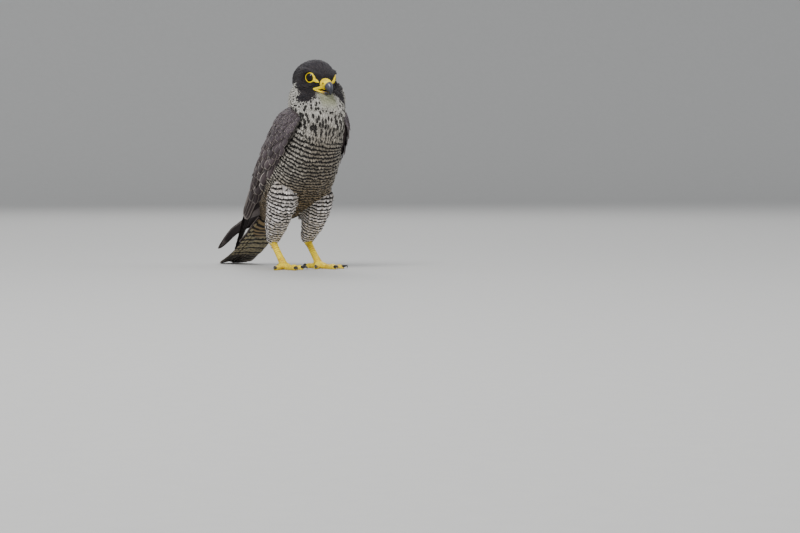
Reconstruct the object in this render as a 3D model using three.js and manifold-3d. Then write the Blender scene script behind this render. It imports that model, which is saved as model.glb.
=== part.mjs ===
// An adult female peregrine falcon, life size, standing still with folded wings.
// Millimetres, +Z up. The bird faces -Y and its left side is +X.
import * as THREE from "three";
import { mergeVertices } from "three/addons/utils/BufferGeometryUtils.js";
import Module from "manifold-3d";

const wasm = await Module();
wasm.setup();

// Driving sizes of the bird
const TAIL_LENGTH = 158; // from the end of the body to the tips
const TARSUS_RADIUS = 4.4;
const MIDDLE_TOE = 48;
const EYE_RADIUS = 8.6;
const VANE_THICK = 0.6; // every feather vane
const LAYER = 0.95; // from one vane to the next in a flat stack
const COVERT_LAYER = 1.5; // the same where the vanes lie on the curved wing
const GAP = 0.32; // between pieces that meet
const GROW = 0.5; // added to a loft that cuts its neighbour, to leave that gap on slopes

// A place given by how far it is to the bird's left, ahead and up.
const at = (left, ahead, up) => new THREE.Vector3(left, -ahead, up);
const mix = THREE.MathUtils.lerp;
const rad = THREE.MathUtils.degToRad;
const clamp = THREE.MathUtils.clamp;
const smooth = (x, low, high) => THREE.MathUtils.smoothstep(x, low, high);

// Rows of numbers are read as smooth curves. Each row of a table is one station, t runs 0 to 1.
function station(table, t) {
  const x = clamp(t, 0, 1) * (table.length - 1);
  const i = Math.min(Math.floor(x), table.length - 2);
  const f = x - i;
  const row = (k) => table[clamp(i + k, 0, table.length - 1)];
  return table[0].map((_, c) => {
    const [a, b, d, e] = [row(-1)[c], row(0)[c], row(1)[c], row(2)[c]];
    const m0 = (d - a) / 2;
    const m1 = (e - b) / 2;
    const f2 = f * f;
    const f3 = f2 * f;
    return (2 * f3 - 3 * f2 + 1) * b + (f3 - 2 * f2 + f) * m0 + (3 * f2 - 2 * f3) * d + (f3 - f2) * m1;
  });
}

// Solids
// Closed solid from points and triangles; it is turned right side out if need be.
function solid(points, triangles) {
  const geometry = new THREE.BufferGeometry().setFromPoints(points);
  geometry.setIndex(triangles);
  const merged = mergeVertices(geometry, 1e-4);
  const triVerts = new Uint32Array(merged.index.array);
  const build = () => new wasm.Manifold(new wasm.Mesh({
    numProp: 3,
    vertProperties: merged.attributes.position.array,
    triVerts,
  }));
  const made = build();
  if (made.volume() > 0) return made;
  triVerts.reverse();
  return build();
}

// Closed solid through rings of points, each end closed by a fan to its middle.
function solidOfRings(rings) {
  const around = rings[0].length;
  const points = rings.flat();
  const triangles = [];
  for (let i = 0; i + 1 < rings.length; i++) {
    for (let k = 0; k < around; k++) {
      const a = i * around + k;
      const b = i * around + ((k + 1) % around);
      triangles.push(a, b, b + around, a, b + around, a + around);
    }
  }
  for (const [ring, turn] of [[0, false], [rings.length - 1, true]]) {
    const middle = new THREE.Vector3();
    rings[ring].forEach((p) => middle.addScaledVector(p, 1 / around));
    const centre = points.push(middle) - 1;
    for (let k = 0; k < around; k++) {
      const a = ring * around + k;
      const b = ring * around + ((k + 1) % around);
      triangles.push(...(turn ? [centre, a, b] : [centre, b, a]));
    }
  }
  return solid(points, triangles);
}

const union = (pieces) => pieces.reduce((a, b) => a.add(b));

// The largest body of a solid, so that no scrap of a cut stays.
function largest(made) {
  return made.decompose().reduce((a, b) => (b.volume() > a.volume() ? b : a));
}

// Half space as a very big block whose one face passes through a point.
function halfSpace(point, towards, size = 900) {
  const box = new THREE.BoxGeometry(size, size, size).translate(0, 0, size / 2);
  const turn = new THREE.Quaternion().setFromUnitVectors(new THREE.Vector3(0, 0, 1), towards.clone().normalize());
  box.applyQuaternion(turn).translate(point.x, point.y, point.z);
  return solidOfGeometry(box);
}

function solidOfGeometry(geometry) {
  const bare = geometry.clone();
  bare.deleteAttribute("normal");
  bare.deleteAttribute("uv");
  const merged = mergeVertices(bare, 1e-4);
  const position = merged.attributes.position;
  const points = Array.from({ length: position.count }, (_, i) => new THREE.Vector3().fromBufferAttribute(position, i));
  return solid(points, Array.from(merged.index.array));
}

// Lofts. A table row is [left, ahead, up, half width, depth to the back, depth to the front].
// Sections stand square to the line of middles, and their front half is squarer where belly is over 2;
// "grow" makes a copy that is larger all round.
function loft(table, { rings, around, grow = 0, belly = 2 }) {
  const place = (t) => at(...station(table, t).slice(0, 3));
  const sections = [];
  for (let i = 0; i <= rings; i++) {
    const t = i / rings;
    const [, , , wide, back, front] = station(table, t);
    const tangent = place(Math.min(t + 0.01, 1)).sub(place(Math.max(t - 0.01, 0))).normalize();
    const side = new THREE.Vector3(1, 0, 0).addScaledVector(tangent, -tangent.x).normalize();
    const rear = new THREE.Vector3().crossVectors(tangent, side).normalize();
    if (rear.y < 0) rear.negate();
    const ends = i === 0 ? -grow : i === rings ? grow : 0;
    const middle = place(t).addScaledVector(tangent, ends);
    sections.push(Array.from({ length: around }, (_, k) => {
      const a = (2 * Math.PI * k) / around;
      const power = 2 / (Math.sin(a) < 0 ? belly : 2);
      const c = Math.sign(Math.cos(a)) * Math.abs(Math.cos(a)) ** power;
      const s = Math.sign(Math.sin(a)) * Math.abs(Math.sin(a)) ** power;
      const depth = s > 0 ? back + grow : front + grow;
      return middle.clone().addScaledVector(side, c * (wide + grow)).addScaledVector(rear, s * depth);
    }));
  }
  return solidOfRings(sections);
}

// Feather vane through sections {middle, side, normal, wide, thick}. Both faces are split alike.
function vane(sections) {
  const points = [];
  for (const { middle, side, normal, wide, thick = VANE_THICK } of sections) {
    for (const face of [0.5, -0.5]) {
      for (const edge of [-1, 1]) {
        points.push(middle.clone().addScaledVector(side, edge * wide).addScaledVector(normal, face * thick));
      }
    }
  }
  const triangles = [];
  const quad = (a, b, c, d) => triangles.push(a, b, c, a, c, d);
  for (let i = 0; i + 1 < sections.length; i++) {
    const p = 4 * i;
    const q = p + 4;
    quad(p, p + 1, q + 1, q);
    triangles.push(p + 2, q + 3, p + 3, p + 2, q + 2, q + 3);
    quad(p, q, q + 2, p + 2);
    quad(p + 1, p + 3, q + 3, q + 1);
  }
  const last = 4 * (sections.length - 1);
  quad(0, 2, 3, 1);
  quad(last, last + 1, last + 3, last + 2);
  return solid(points, triangles);
}

// Half width along a vane from root to tip, as a share of its widest, for a round or a long tip.
const VANE_SHAPES = {
  covert: [[0, 0.75], [0.7, 1], [1, 0.36]],
  flight: [[0, 0.8], [0.4, 1], [0.72, 0.9], [0.92, 0.55], [1, 0.18]],
  tail: [[0, 0.72], [0.45, 0.95], [0.9, 0.95], [1, 0.45]],
};

// Head, neck and torso
const BODY = [
  [7, 44, 259, 17, 13, 6],
  [8, 46, 250, 26.5, 20, 10],
  [9, 50, 240, 32, 25, 18],
  [9, 56, 227, 35.5, 29, 27],
  [7, 60, 213, 37, 31, 37],
  [4, 59, 198, 40.5, 34, 43],
  [1, 50, 182, 43, 40, 48],
  [0, 36, 164, 46.5, 43, 54],
  [0, 16, 143, 48.5, 45, 56],
  [0, -4, 124, 46.5, 44, 53],
  [0, -24, 106, 40.5, 38.5, 44],
  [0, -45, 90, 30, 31, 30],
  [0, -64, 77, 20, 20, 16],
  [0, -76, 69, 14, 11, 9],
];
const BODY_MESH = { rings: 22, around: 24, belly: 2.7 };
// Head stations along its own axis: [ahead, rise of the middle, half width, up, down].
const HEAD_MIDDLE = at(6.5, 60, 253);
const HEAD_YAW = 8; // to the bird's left
const HEAD_PITCH = 10; // bill down
const HEAD_ROLL = 2;
const HEAD = [
  [-32, -2, 5, 6, 6],
  [-28, -1, 17, 14, 14],
  [-17, 0, 26, 22, 21],
  [-4, 1, 28.6, 25.5, 25],
  [7, 1, 26.6, 24, 24],
  [16, -0.5, 20, 17.5, 18.5],
  [21.5, -2.5, 13.4, 11, 12],
  [25.5, -4, 6, 5.5, 6],
];

// From the head's own frame (ahead, left, up from its middle) to the bird's.
const headTurn = new THREE.Matrix4()
  .makeRotationFromEuler(new THREE.Euler(rad(HEAD_PITCH), rad(HEAD_ROLL), rad(HEAD_YAW), "ZYX"))
  .setPosition(HEAD_MIDDLE);
const onHead = (ahead, left, up) => new THREE.Vector3(left, -ahead, up).applyMatrix4(headTurn);
const headWay = (ahead, left, up) => new THREE.Vector3(left, -ahead, up).transformDirection(headTurn);

function headLoft(grow = 0) {
  const rings = 12;
  const around = 24;
  return solidOfRings(Array.from({ length: rings + 1 }, (_, i) => {
    const [ahead, rise, wide, up, down] = station(HEAD, i / rings);
    const end = i === 0 ? -grow : i === rings ? grow : 0;
    return Array.from({ length: around }, (_, k) => {
      const a = (2 * Math.PI * k) / around;
      const high = Math.sin(a) > 0 ? up + grow : down + grow;
      return onHead(ahead + end, (wide + grow) * Math.cos(a), rise + high * Math.sin(a));
    });
  }));
}

const CHEEK_RADIUS = 14; // full feathers of the cheek under the eye
const EYE = { ahead: 11.4, out: 14.6, up: 4 };
const EYE_WAY = { ahead: 0.46, out: 0.88, up: -0.05 };
const LID_RADIUS = 6.5;
const LID_THICK = 1.4;

const eyePlace = (side) => onHead(EYE.ahead, side * EYE.out, EYE.up);
const eyeWay = (side) => headWay(EYE_WAY.ahead, side * EYE_WAY.out, EYE_WAY.up);

// Solid of turn about an axis from a profile of [radius, height] points.
function turned(profile, place, way, around = 20) {
  const points = profile.map(([r, h]) => new THREE.Vector2(r, h));
  const geometry = new THREE.LatheGeometry(points, around).rotateX(Math.PI / 2);
  const turn = new THREE.Quaternion().setFromUnitVectors(new THREE.Vector3(0, 0, 1), way);
  geometry.applyQuaternion(turn).translate(place.x, place.y, place.z);
  return solidOfGeometry(geometry);
}

function ball(radius, place, rings = 9, around = 18) {
  const profile = Array.from({ length: rings + 1 }, (_, i) => {
    const a = (Math.PI * i) / rings;
    return [i % rings ? radius * Math.sin(a) : 0, -radius * Math.cos(a)];
  });
  return turned(profile, place, new THREE.Vector3(0, 0, 1), around);
}

// Raised ring of bare skin round the eye.
function lidRing(side) {
  const seat = Math.sqrt(EYE_RADIUS ** 2 - LID_RADIUS ** 2);
  const inner = LID_RADIUS - LID_THICK;
  const outer = LID_RADIUS + LID_THICK;
  const profile = [[inner, seat - 3], [outer, seat - 3], [outer, seat], [LID_RADIUS, seat + 1.5], [inner, seat + 1.1]];
  return turned([...profile, profile[0]], eyePlace(side), eyeWay(side), 16);
}

// Brow: the ridge of skin and feathers that shades the eye, as [ahead, out, up, wide, high].
const BROW = [
  [0, 23.4, 11.5, 2.6, 2.4],
  [8, 21.4, 11.8, 4, 3],
  [15, 16.6, 10.2, 4, 3],
  [21, 10.6, 7, 2, 2],
];
function brow(side) {
  return solidOfRings(BROW.map(([ahead, out, up, wide, high]) => Array.from({ length: 8 }, (_, k) => {
    const a = (2 * Math.PI * k) / 8;
    return onHead(ahead, side * (out + wide * Math.cos(a)), up + high * Math.sin(a));
  })));
}

function makeHeadNeckTorso() {
  let head = headLoft();
  for (const side of [-1, 1]) {
    head = head.add(brow(side)).add(lidRing(side)).add(ball(CHEEK_RADIUS, onHead(4, side * 15.5, -9.5), 8, 16));
  }
  let flesh = loft(BODY, BODY_MESH).add(head);
  for (const side of [-1, 1]) flesh = flesh.subtract(ball(EYE_RADIUS + GAP, eyePlace(side), 8, 14));
  flesh = flesh.subtract(billLoft(BILL, 12, 16, GAP + 0.1)).subtract(billLoft(LOWER_BILL, 7, 12, GAP + 0.1));
  const part = (low, high) => {
    let piece = flesh;
    if (low) piece = piece.intersect(halfSpace(low.place.clone().addScaledVector(low.way, GAP / 2), low.way));
    if (high) {
      const back = high.way.clone().negate();
      piece = piece.intersect(halfSpace(high.place.clone().addScaledVector(back, GAP / 2), back));
    }
    return largest(piece);
  };
  const throat = { place: onHead(20, 0, -18), way: headWay(0.18, 0, 0.98).normalize() };
  const shoulder = { place: at(0, 60, 199), way: at(0, 0.35, 0.94).normalize() };
  return { head: part(throat, null), neck: part(shoulder, throat), torso: part(null, shoulder) };
}

// The bill: [ahead, rise, half width, up, down] along the head's axis.
const BILL = [
  [18, -3, 9.6, 7.4, 8.4],
  [24, -2.4, 7.9, 7.2, 7.8],
  [29, -2.9, 6.4, 6.6, 6.8],
  [33.4, -4.6, 5, 5.8, 5.8],
  [36.6, -8, 3.6, 4.8, 4.5],
  [38, -12.2, 2.1, 3.3, 2.8],
  [37.5, -15.2, 0.8, 1, 0.9],
];
const LOWER_BILL = [
  [11, -12.2, 9.6, 2.4, 4.2],
  [18, -12.4, 8.4, 2.3, 4.6],
  [24.5, -12.8, 6.6, 2.1, 4.2],
  [30, -13.1, 4.6, 1.8, 3.3],
  [34, -13, 2.2, 1, 1.7],
];
const CERE_END = 33.2; // where the cere stops, at the height of the head's middle
const SEAM_LEAN = 0.62; // how far its edge runs forward for each mm up
const NOSTRIL = { ahead: 28.5, out: 7, up: -1.8, radius: 1.6 };

function billLoft(table, rings, around, grow = 0) {
  const place = (t) => station(table, t).slice(0, 2);
  return solidOfRings(Array.from({ length: rings + 1 }, (_, i) => {
    const t = i / rings;
    const [ahead, rise, wide, up, down] = station(table, t);
    const [a0, r0] = place(Math.max(t - 0.02, 0));
    const [a1, r1] = place(Math.min(t + 0.02, 1));
    const lean = Math.atan2(r1 - r0, a1 - a0);
    const end = i === 0 ? -grow : i === rings ? grow : 0;
    return Array.from({ length: around }, (_, k) => {
      const a = (2 * Math.PI * k) / around;
      const high = Math.sin(a) * (Math.sin(a) > 0 ? up + grow : down + grow);
      const along = ahead + end * Math.cos(lean) - high * Math.sin(lean);
      const above = rise + end * Math.sin(lean) + high * Math.cos(lean);
      return onHead(along, (wide + grow) * Math.cos(a), above);
    });
  }));
}

function makeBill() {
  const upper = billLoft(BILL, 12, 16);
  const across = headWay(1, 0, -SEAM_LEAN).normalize();
  const seam = onHead(CERE_END, 0, 0);
  const before = halfSpace(seam.clone().addScaledVector(across, -GAP / 2), across.clone().negate());
  const after = halfSpace(seam.clone().addScaledVector(across, GAP / 2), across);
  let cere = upper.intersect(before);
  for (const side of [-1, 1]) {
    const nostril = onHead(NOSTRIL.ahead, side * NOSTRIL.out, NOSTRIL.up);
    cere = cere.subtract(ball(NOSTRIL.radius, nostril, 6, 10));
  }
  const lower = billLoft(LOWER_BILL, 7, 12);
  return {
    cere: largest(cere),
    beak_upper: largest(upper.intersect(after)),
    beak_lower: largest(lower.subtract(billLoft(BILL, 12, 16, GAP + 0.1))),
  };
}

// Legs
const THIGH = [
  [27, 30, 128, 4, 4, 4],
  [28, 34, 119, 15, 14, 15],
  [30, 35, 104, 19.5, 18, 21],
  [31, 29, 85, 19.5, 18, 21],
  [31, 18, 65, 16.5, 15.5, 17],
  [30, 7, 49, 12.5, 11.5, 12.5],
  [30, 0, 39, 9, 8, 9],
];
const HEEL = [30, -1, 38];
const BALL_OF_FOOT = [30, 33, 9];
const LEFT_LEG = [-2, -13]; // the left leg's place from the right one's: out and ahead
const FLOOR_CUT = 0.9; // how far a pad would reach below the floor if it weren't flattened

// Place of a leg's point for the right or the left leg.
function onLeg(side, [out, ahead, ...rest]) {
  const [inwards, forwards] = side > 0 ? LEFT_LEG : [0, 0];
  return [side * (out + inwards), ahead + forwards, ...rest];
}

// Tube through [left, ahead, up, radius] stations.
function tube(table, rings, around) {
  const place = (t) => at(...station(table, t).slice(0, 3));
  return solidOfRings(Array.from({ length: rings + 1 }, (_, i) => {
    const t = i / rings;
    const radius = station(table, t)[3];
    const tangent = place(Math.min(t + 0.01, 1)).sub(place(Math.max(t - 0.01, 0))).normalize();
    const side = new THREE.Vector3().crossVectors(tangent, new THREE.Vector3(0, 0, 1)).normalize();
    const up = new THREE.Vector3().crossVectors(side, tangent).normalize();
    return Array.from({ length: around }, (_, k) => {
      const a = (2 * Math.PI * k) / around;
      return place(t).addScaledVector(side, radius * Math.cos(a)).addScaledVector(up, radius * Math.sin(a));
    });
  }));
}

// Toes: angle out from straight ahead, length, thickness at the root, talon length.
const TOES = [
  { name: "1", turn: -168, length: 0.5 * MIDDLE_TOE, thick: 4, talon: 17 },
  { name: "2", turn: -30, length: 0.68 * MIDDLE_TOE, thick: 4, talon: 16 },
  { name: "3", turn: 4, length: MIDDLE_TOE, thick: 3.9, talon: 15 },
  { name: "4", turn: 40, length: 0.8 * MIDDLE_TOE, thick: 3.7, talon: 13 },
];

// Places along a toe: distance from the ball of the foot, height, side way.
function toeLine(side, toe) {
  const way = rad(toe.turn) * side;
  const [left, ahead] = onLeg(side, BALL_OF_FOOT);
  return (distance, up, radius) => [left + distance * Math.sin(way), ahead + distance * Math.cos(way), up, radius];
}

function toeSolid(side, toe, grow = 0) {
  const line = (distance, up, radius) => toeLine(side, toe)(distance, up, radius + grow);
  const { length, thick } = toe;
  const low = (radius) => radius - FLOOR_CUT;
  const table = [line(0, BALL_OF_FOOT[2] - 1, thick), line(0.16 * length, low(thick) + 2.4, thick)];
  for (const [share, size] of [[0.32, 0.98], [0.44, 0.84], [0.58, 0.98], [0.7, 0.78], [0.84, 0.92], [0.95, 0.7]]) {
    table.push(line(share * length, low(thick * size), thick * size));
  }
  table.push(line(length, 2.4, 1.5));
  return tube(table, 8, 8);
}

function talonSolid(side, toe) {
  const line = toeLine(side, toe);
  const { length, talon, thick } = toe;
  const start = length - 1.5;
  const table = [0, 0.2, 0.4, 0.6, 0.8, 1].map((t) => {
    const bend = 1.9 * t;
    const ahead = (talon * Math.sin(bend)) / 1.9;
    const up = 3.2 + 1.6 * Math.sin(Math.PI * t) - 2.4 * t * t;
    return line(start + ahead, Math.max(up, 0.45 + 0.4 * (1 - t)), mix(0.64 * thick, 0.3, t ** 0.85));
  });
  return tube(table, 6, 6);
}

function makeLeg(side, name, bodyGrown) {
  const floor = halfSpace(new THREE.Vector3(0, 0, 0), new THREE.Vector3(0, 0, 1));
  const options = { rings: 9, around: 20 };
  const table = THIGH.map((row) => onLeg(side, row));
  const thighLoft = loft(table, options);
  const thighGrown = loft(table, { ...options, grow: GROW });
  const heel = onLeg(side, HEEL);
  const sole = onLeg(side, BALL_OF_FOOT);
  const part = (t, radius) => [...heel.map((v, i) => mix(v, sole[i], t)), radius];
  const thick = TARSUS_RADIUS;
  const tarsusTube = tube([part(-0.05, 5.4), part(0.1, 5.4), part(0.3, thick), part(0.7, thick), part(1, 5)], 8, 12);
  const ballOfFoot = ball(5.8, at(sole[0], sole[1], sole[2] - 1.2), 6, 12);
  const toes = union([ballOfFoot, ...TOES.map((toe) => toeSolid(side, toe))]).intersect(floor);
  const solids = { [`thigh_${name}`]: largest(thighLoft.subtract(bodyGrown)) };
  const ballGrown = ball(5.8 + GROW, at(sole[0], sole[1], sole[2] - 1.2), 6, 12);
  const hindGrown = toeSolid(side, TOES[0], GAP + 0.1);
  solids[`tarsus_${name}`] = largest(tarsusTube.subtract(thighGrown).subtract(ballGrown).subtract(hindGrown));
  let foot = toes;
  for (const toe of TOES) {
    const talon = talonSolid(side, toe).intersect(floor);
    const line = toeLine(side, toe);
    const [left, ahead] = line(toe.length, 0, 0);
    const way = at(Math.sin(rad(toe.turn) * side), Math.cos(rad(toe.turn) * side), 0).normalize();
    const seat = at(left, ahead, 0);
    foot = foot.subtract(talonCut(seat, way, GAP));
    solids[`talon_${name}_${toe.name}`] = largest(talon.intersect(halfSpace(seat.addScaledVector(way, -0.4), way)));
  }
  solids[`foot_${name}`] = largest(foot);
  return solids;
}

// Square cut across the end of a toe, where its talon starts.
function talonCut(seat, way, gap) {
  const slab = new THREE.BoxGeometry(16, 16, 6).translate(0, 0, 3);
  const turn = new THREE.Quaternion().setFromUnitVectors(new THREE.Vector3(0, 0, 1), way);
  const start = seat.clone().addScaledVector(way, -0.4 - gap);
  slab.applyQuaternion(turn).translate(start.x, start.y, start.z + 4);
  return solidOfGeometry(slab);
}

// Wings. The folded wing is a curved shield; rows give [side, ahead, up] from the bend to the tip.
const WING_EDGE = [
  [31, 94, 203],
  [41, 86, 180],
  [45, 64, 153],
  [45, 31, 125],
  [41, -8, 101],
  [36, -46, 80],
  [29, -82, 61],
  [20, -116, 46],
  [10, -148, 33],
  [0, -178, 23],
  [-10, -204, 16],
];
const WING_RIDGE = [
  [39, 82, 213],
  [49, 60, 200],
  [52, 29, 172],
  [50, -3, 144],
  [45, -34, 118],
  [37, -66, 95],
  [27, -98, 74],
  [16, -128, 55],
  [5, -155, 40],
  [-4, -180, 28],
  [-12, -203, 18],
];
const WING_BACK = [
  [28, 68, 217],
  [23, 34, 214],
  [16, -4, 195],
  [10, -35, 166],
  [6, -62, 138],
  [4, -86, 112],
  [3, -109, 89],
  [1, -133, 64],
  [-5, -156, 42],
  [-11, -180, 28],
  [-15, -202, 18],
];
const WING_CORE_END = 0.6;
// How far each wing's end is carried outwards, how far it is lifted, and how far its tip sinks again.
const CROSSING = { left: [-9, 19, 11], right: [9, 3, 0] };

// Point of a folded wing: s from the bend to the tip, t from the leading edge to the back.
function wingPoint(side, s, t) {
  const [edge, ridge, back] = [WING_EDGE, WING_RIDGE, WING_BACK].map((row) => station(row, s));
  const [over, lift, sink] = side > 0 ? CROSSING.left : CROSSING.right;
  const late = smooth(s, 0.5, 1);
  const raised = lift * smooth(s, 0.45, 0.82) - sink * smooth(s, 0.85, 1);
  const place = edge.map((a, i) => {
    const bend = 2 * ridge[i] - (a + back[i]) / 2;
    return (1 - t) ** 2 * a + 2 * t * (1 - t) * bend + t * t * back[i];
  });
  return at(side * (place[0] + over * late), place[1], place[2] + raised);
}

// Frame on a folded wing: place, way along, way across and outward normal.
function wingFrame(side, s, t) {
  const e = 0.01;
  const s0 = clamp(s, e, 1 - e);
  const alongWay = wingPoint(side, s0 + e, t).sub(wingPoint(side, s0 - e, t)).normalize();
  const across = wingPoint(side, s, t + e).sub(wingPoint(side, s, t - e));
  across.addScaledVector(alongWay, -across.dot(alongWay)).normalize();
  const normal = new THREE.Vector3().crossVectors(alongWay, across).multiplyScalar(side).normalize();
  return { place: wingPoint(side, s, t), along: alongWay, across, normal };
}

// Vane lying on a wing from (s, t) at its root to (s, t) at its tip, at heights over the shield.
function wingVane(side, { from, to, height, wide, shape, bow = 0 }) {
  return vane(VANE_SHAPES[shape].map(([share, size]) => {
    const s = mix(from[0], to[0], share);
    const t = mix(from[1], to[1], share) + bow * Math.sin(Math.PI * share);
    const f = wingFrame(side, s, t);
    const lift = mix(height[0], height[1], share);
    return { middle: f.place.addScaledVector(f.normal, lift), side: f.across, normal: f.normal, wide: wide * size };
  }));
}

// Arm and hand inside the feathers: thick over the body, thin where the long feathers leave it.
function wingCore(side) {
  const steps = 9;
  const across = 7;
  const edge = 0.04;
  return solidOfRings(Array.from({ length: steps + 1 }, (_, i) => {
    const s = mix(0.004, WING_CORE_END, (i / steps) ** 1.2);
    const deep = mix(15, 7, smooth(s, 0.25, WING_CORE_END));
    const margin = i === 0 ? 0.26 : edge;
    const sunk = i === 0 ? 3.2 : 0;
    const row = (depth) => Array.from({ length: across + 1 }, (_, k) => {
      const t = mix(margin, 1 - margin, k / across);
      const f = wingFrame(side, s, t);
      const round = 2.2 * Math.abs(2 * t - 1) ** 3;
      return f.place.addScaledVector(f.normal, depth < 5 ? -depth - round : -depth);
    });
    return [...row(1 + sunk), ...row(deep - sunk).reverse()];
  }));
}

// Tiers of a wing: tips at share s, spread over t, with the count, length and width of the vanes.
const WING_TIERS = [
  { count: 5, tip: [0.27, 0.26], spread: [0.22, 0.86], length: 0.11, wide: 9.6, height: 0.3 },
  { count: 6, tip: [0.42, 0.41], spread: [0.2, 0.87], length: 0.13, wide: 8.4, height: 0 },
  { count: 6, tip: [0.6, 0.58], spread: [0.2, 0.82], length: 0.19, wide: 8.2, height: -0.6 },
];
const TERTIALS = [
  { from: [0.36, 0.9], to: [0.6, 0.84] },
  { from: [0.42, 0.88], to: [0.68, 0.82] },
  { from: [0.48, 0.85], to: [0.75, 0.79] },
];
// Where the primaries that show end, from the leading edge in
const PRIMARY_TIPS = [0.965, 1, 0.97, 0.92, 0.87, 0.82, 0.77];
const PRIMARY_LAYER = 0.9;

function makeWing(side, bodyGrown) {
  const pieces = [wingCore(side)];
  for (const { count, tip, spread, length, wide, height } of WING_TIERS) {
    for (let k = 0; k < count; k++) {
      const share = k / (count - 1);
      const t = mix(spread[0], spread[1], share);
      const s = mix(tip[0], tip[1], share);
      const high = height + (k % 2) * COVERT_LAYER;
      const from = [Math.max(s - length, 0.02), t];
      pieces.push(wingVane(side, { from, to: [s, t], height: [high - 3.6, high + 1], wide, shape: "covert" }));
    }
  }
  TERTIALS.forEach(({ from, to }, k) => {
    const high = 2.4 - k * COVERT_LAYER;
    pieces.push(wingVane(side, { from, to, height: [high - 3.4, high], wide: 9.5, shape: "covert" }));
  });
  PRIMARY_TIPS.forEach((tip, k) => {
    const share = k / (PRIMARY_TIPS.length - 1);
    const low = -1.2 - (PRIMARY_TIPS.length - 1 - k) * PRIMARY_LAYER;
    const from = [WING_CORE_END - 0.08, mix(0.16, 0.7, share)];
    const to = [tip, mix(0.42, 0.62, share)];
    pieces.push(wingVane(side, { from, to, height: [low, low], wide: mix(7.2, 8.6, share), shape: "flight" }));
  });
  return largest(union(pieces).subtract(bodyGrown));
}

// Tail
const TAIL_ROOT = [0, -66, 73.5];
const TAIL_PITCH = [38.4, 12]; // down from level, at the root and at the tip
const TAIL_DROOP = 0.16; // slope of the outer feathers to the side
const TAIL_CORE = [
  [0, -77.5, 68, 14.5, 9, 10],
  [0, -86, 61.5, 18, 8.5, 10.5],
  [0, -99, 53, 18.5, 6.5, 9.5],
  [0, -114, 44.5, 16, 4.5, 7],
  [0, -128, 37.5, 11, 3, 4.5],
];

// Line of the tail in the middle plane: its place and its pitch at a share of its length.
function tailLine(share) {
  const steps = 24;
  const total = TAIL_LENGTH + 14;
  let [ahead, up] = [TAIL_ROOT[1], TAIL_ROOT[2]];
  const pitch = (x) => rad(mix(TAIL_PITCH[0], TAIL_PITCH[1], x));
  for (let i = 0; i < steps; i++) {
    const x = (share * (i + 0.5)) / steps;
    ahead -= ((total * share) / steps) * Math.cos(pitch(x));
    up -= ((total * share) / steps) * Math.sin(pitch(x));
  }
  return { ahead, up, pitch: pitch(share) };
}

// Vane of the tail: "reach" is how far its middle is from the tail's own at the root and the tip.
function tailVane({ from, to, reach, height, wide, shape }) {
  return vane(VANE_SHAPES[shape].map(([share, size]) => {
    const x = mix(from, to, share);
    const { ahead, up, pitch } = tailLine(x);
    const left = mix(reach[0], reach[1], share);
    const normal = at(0, Math.sin(pitch), Math.cos(pitch));
    const slope = TAIL_DROOP * Math.sign(left) * smooth(Math.abs(left), 0, 8);
    const side = new THREE.Vector3(1, 0, 0).addScaledVector(normal, -slope).normalize();
    const out = normal.clone().addScaledVector(side, -normal.dot(side)).normalize();
    const lift = mix(height[0], height[1], share) - slope * left * 0.5;
    const middle = at(left, ahead, up).addScaledVector(normal, lift);
    return { middle, side, normal: out, wide: wide * size };
  }));
}

function makeTail() {
  const pieces = [loft(TAIL_CORE, { rings: 6, around: 20 })];
  const layers = [[0, 1], [2, 3], [4, 4], [5, 5], [6, 6], [7, 7]];
  layers.forEach(([leftLayer, rightLayer], pair) => {
    for (const side of [1, -1]) {
      const layer = side > 0 ? leftLayer : rightLayer;
      const reach = [side * (1 + 1.6 * pair), side * (1.6 + 3 * pair)];
      const high = (3 - layer) * LAYER;
      const tip = 1 - 0.006 * pair * pair;
      pieces.push(tailVane({ from: 0.16, to: tip, reach, height: [high * 0.9, high], wide: 8.6, shape: "tail" }));
    }
  });
  for (let k = -2; k <= 2; k++) {
    const odd = Math.abs(k % 2);
    const above = { from: 0.13, to: 0.42 - 0.03 * Math.abs(k), reach: [5 * k, 6.6 * k], wide: 5.6, shape: "covert" };
    pieces.push(tailVane({ ...above, height: [4.5 + odd * LAYER, 5.2 + odd * LAYER] }));
    const below = { from: 0.13, to: 0.62 - 0.04 * Math.abs(k), reach: [5 * k, 7 * k], wide: 6, shape: "covert" };
    pieces.push(tailVane({ ...below, height: [-5.2 - odd * LAYER, -6.6 - odd * LAYER] }));
  }
  return union(pieces);
}

// The whole bird
const COLOURS = {
  torso: [0.72, 0.68, 0.6, 0.85],
  neck: [0.82, 0.79, 0.73, 0.85],
  head: [0.1, 0.1, 0.12, 0.8],
  thigh: [0.76, 0.72, 0.67, 0.85],
  wing: [0.21, 0.2, 0.22, 0.7],
  tail: [0.24, 0.21, 0.18, 0.7],
  cere: [0.9, 0.72, 0.06, 0.5],
  beak: [0.3, 0.32, 0.38, 0.35],
  eye: [0.03, 0.02, 0.015, 0.05],
  tarsus: [0.9, 0.7, 0.1, 0.55],
  foot: [0.9, 0.7, 0.1, 0.55],
  talon: [0.04, 0.04, 0.045, 0.3],
};

function meshOf(name, made) {
  const { vertProperties, triVerts, numProp } = made.getMesh();
  const geometry = new THREE.BufferGeometry();
  const positions = new Float32Array((vertProperties.length / numProp) * 3);
  for (let i = 0; i < positions.length / 3; i++) {
    positions.set(vertProperties.subarray(i * numProp, i * numProp + 3), i * 3);
  }
  geometry.setAttribute("position", new THREE.BufferAttribute(positions, 3));
  geometry.setIndex(new THREE.BufferAttribute(triVerts, 1));
  geometry.computeVertexNormals();
  const [r, g, b, roughness] = COLOURS[name.split("_")[0]];
  const material = new THREE.MeshStandardMaterial({ color: new THREE.Color(r, g, b), roughness, metalness: 0 });
  const mesh = new THREE.Mesh(geometry, material);
  mesh.name = name;
  return mesh;
}

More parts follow.
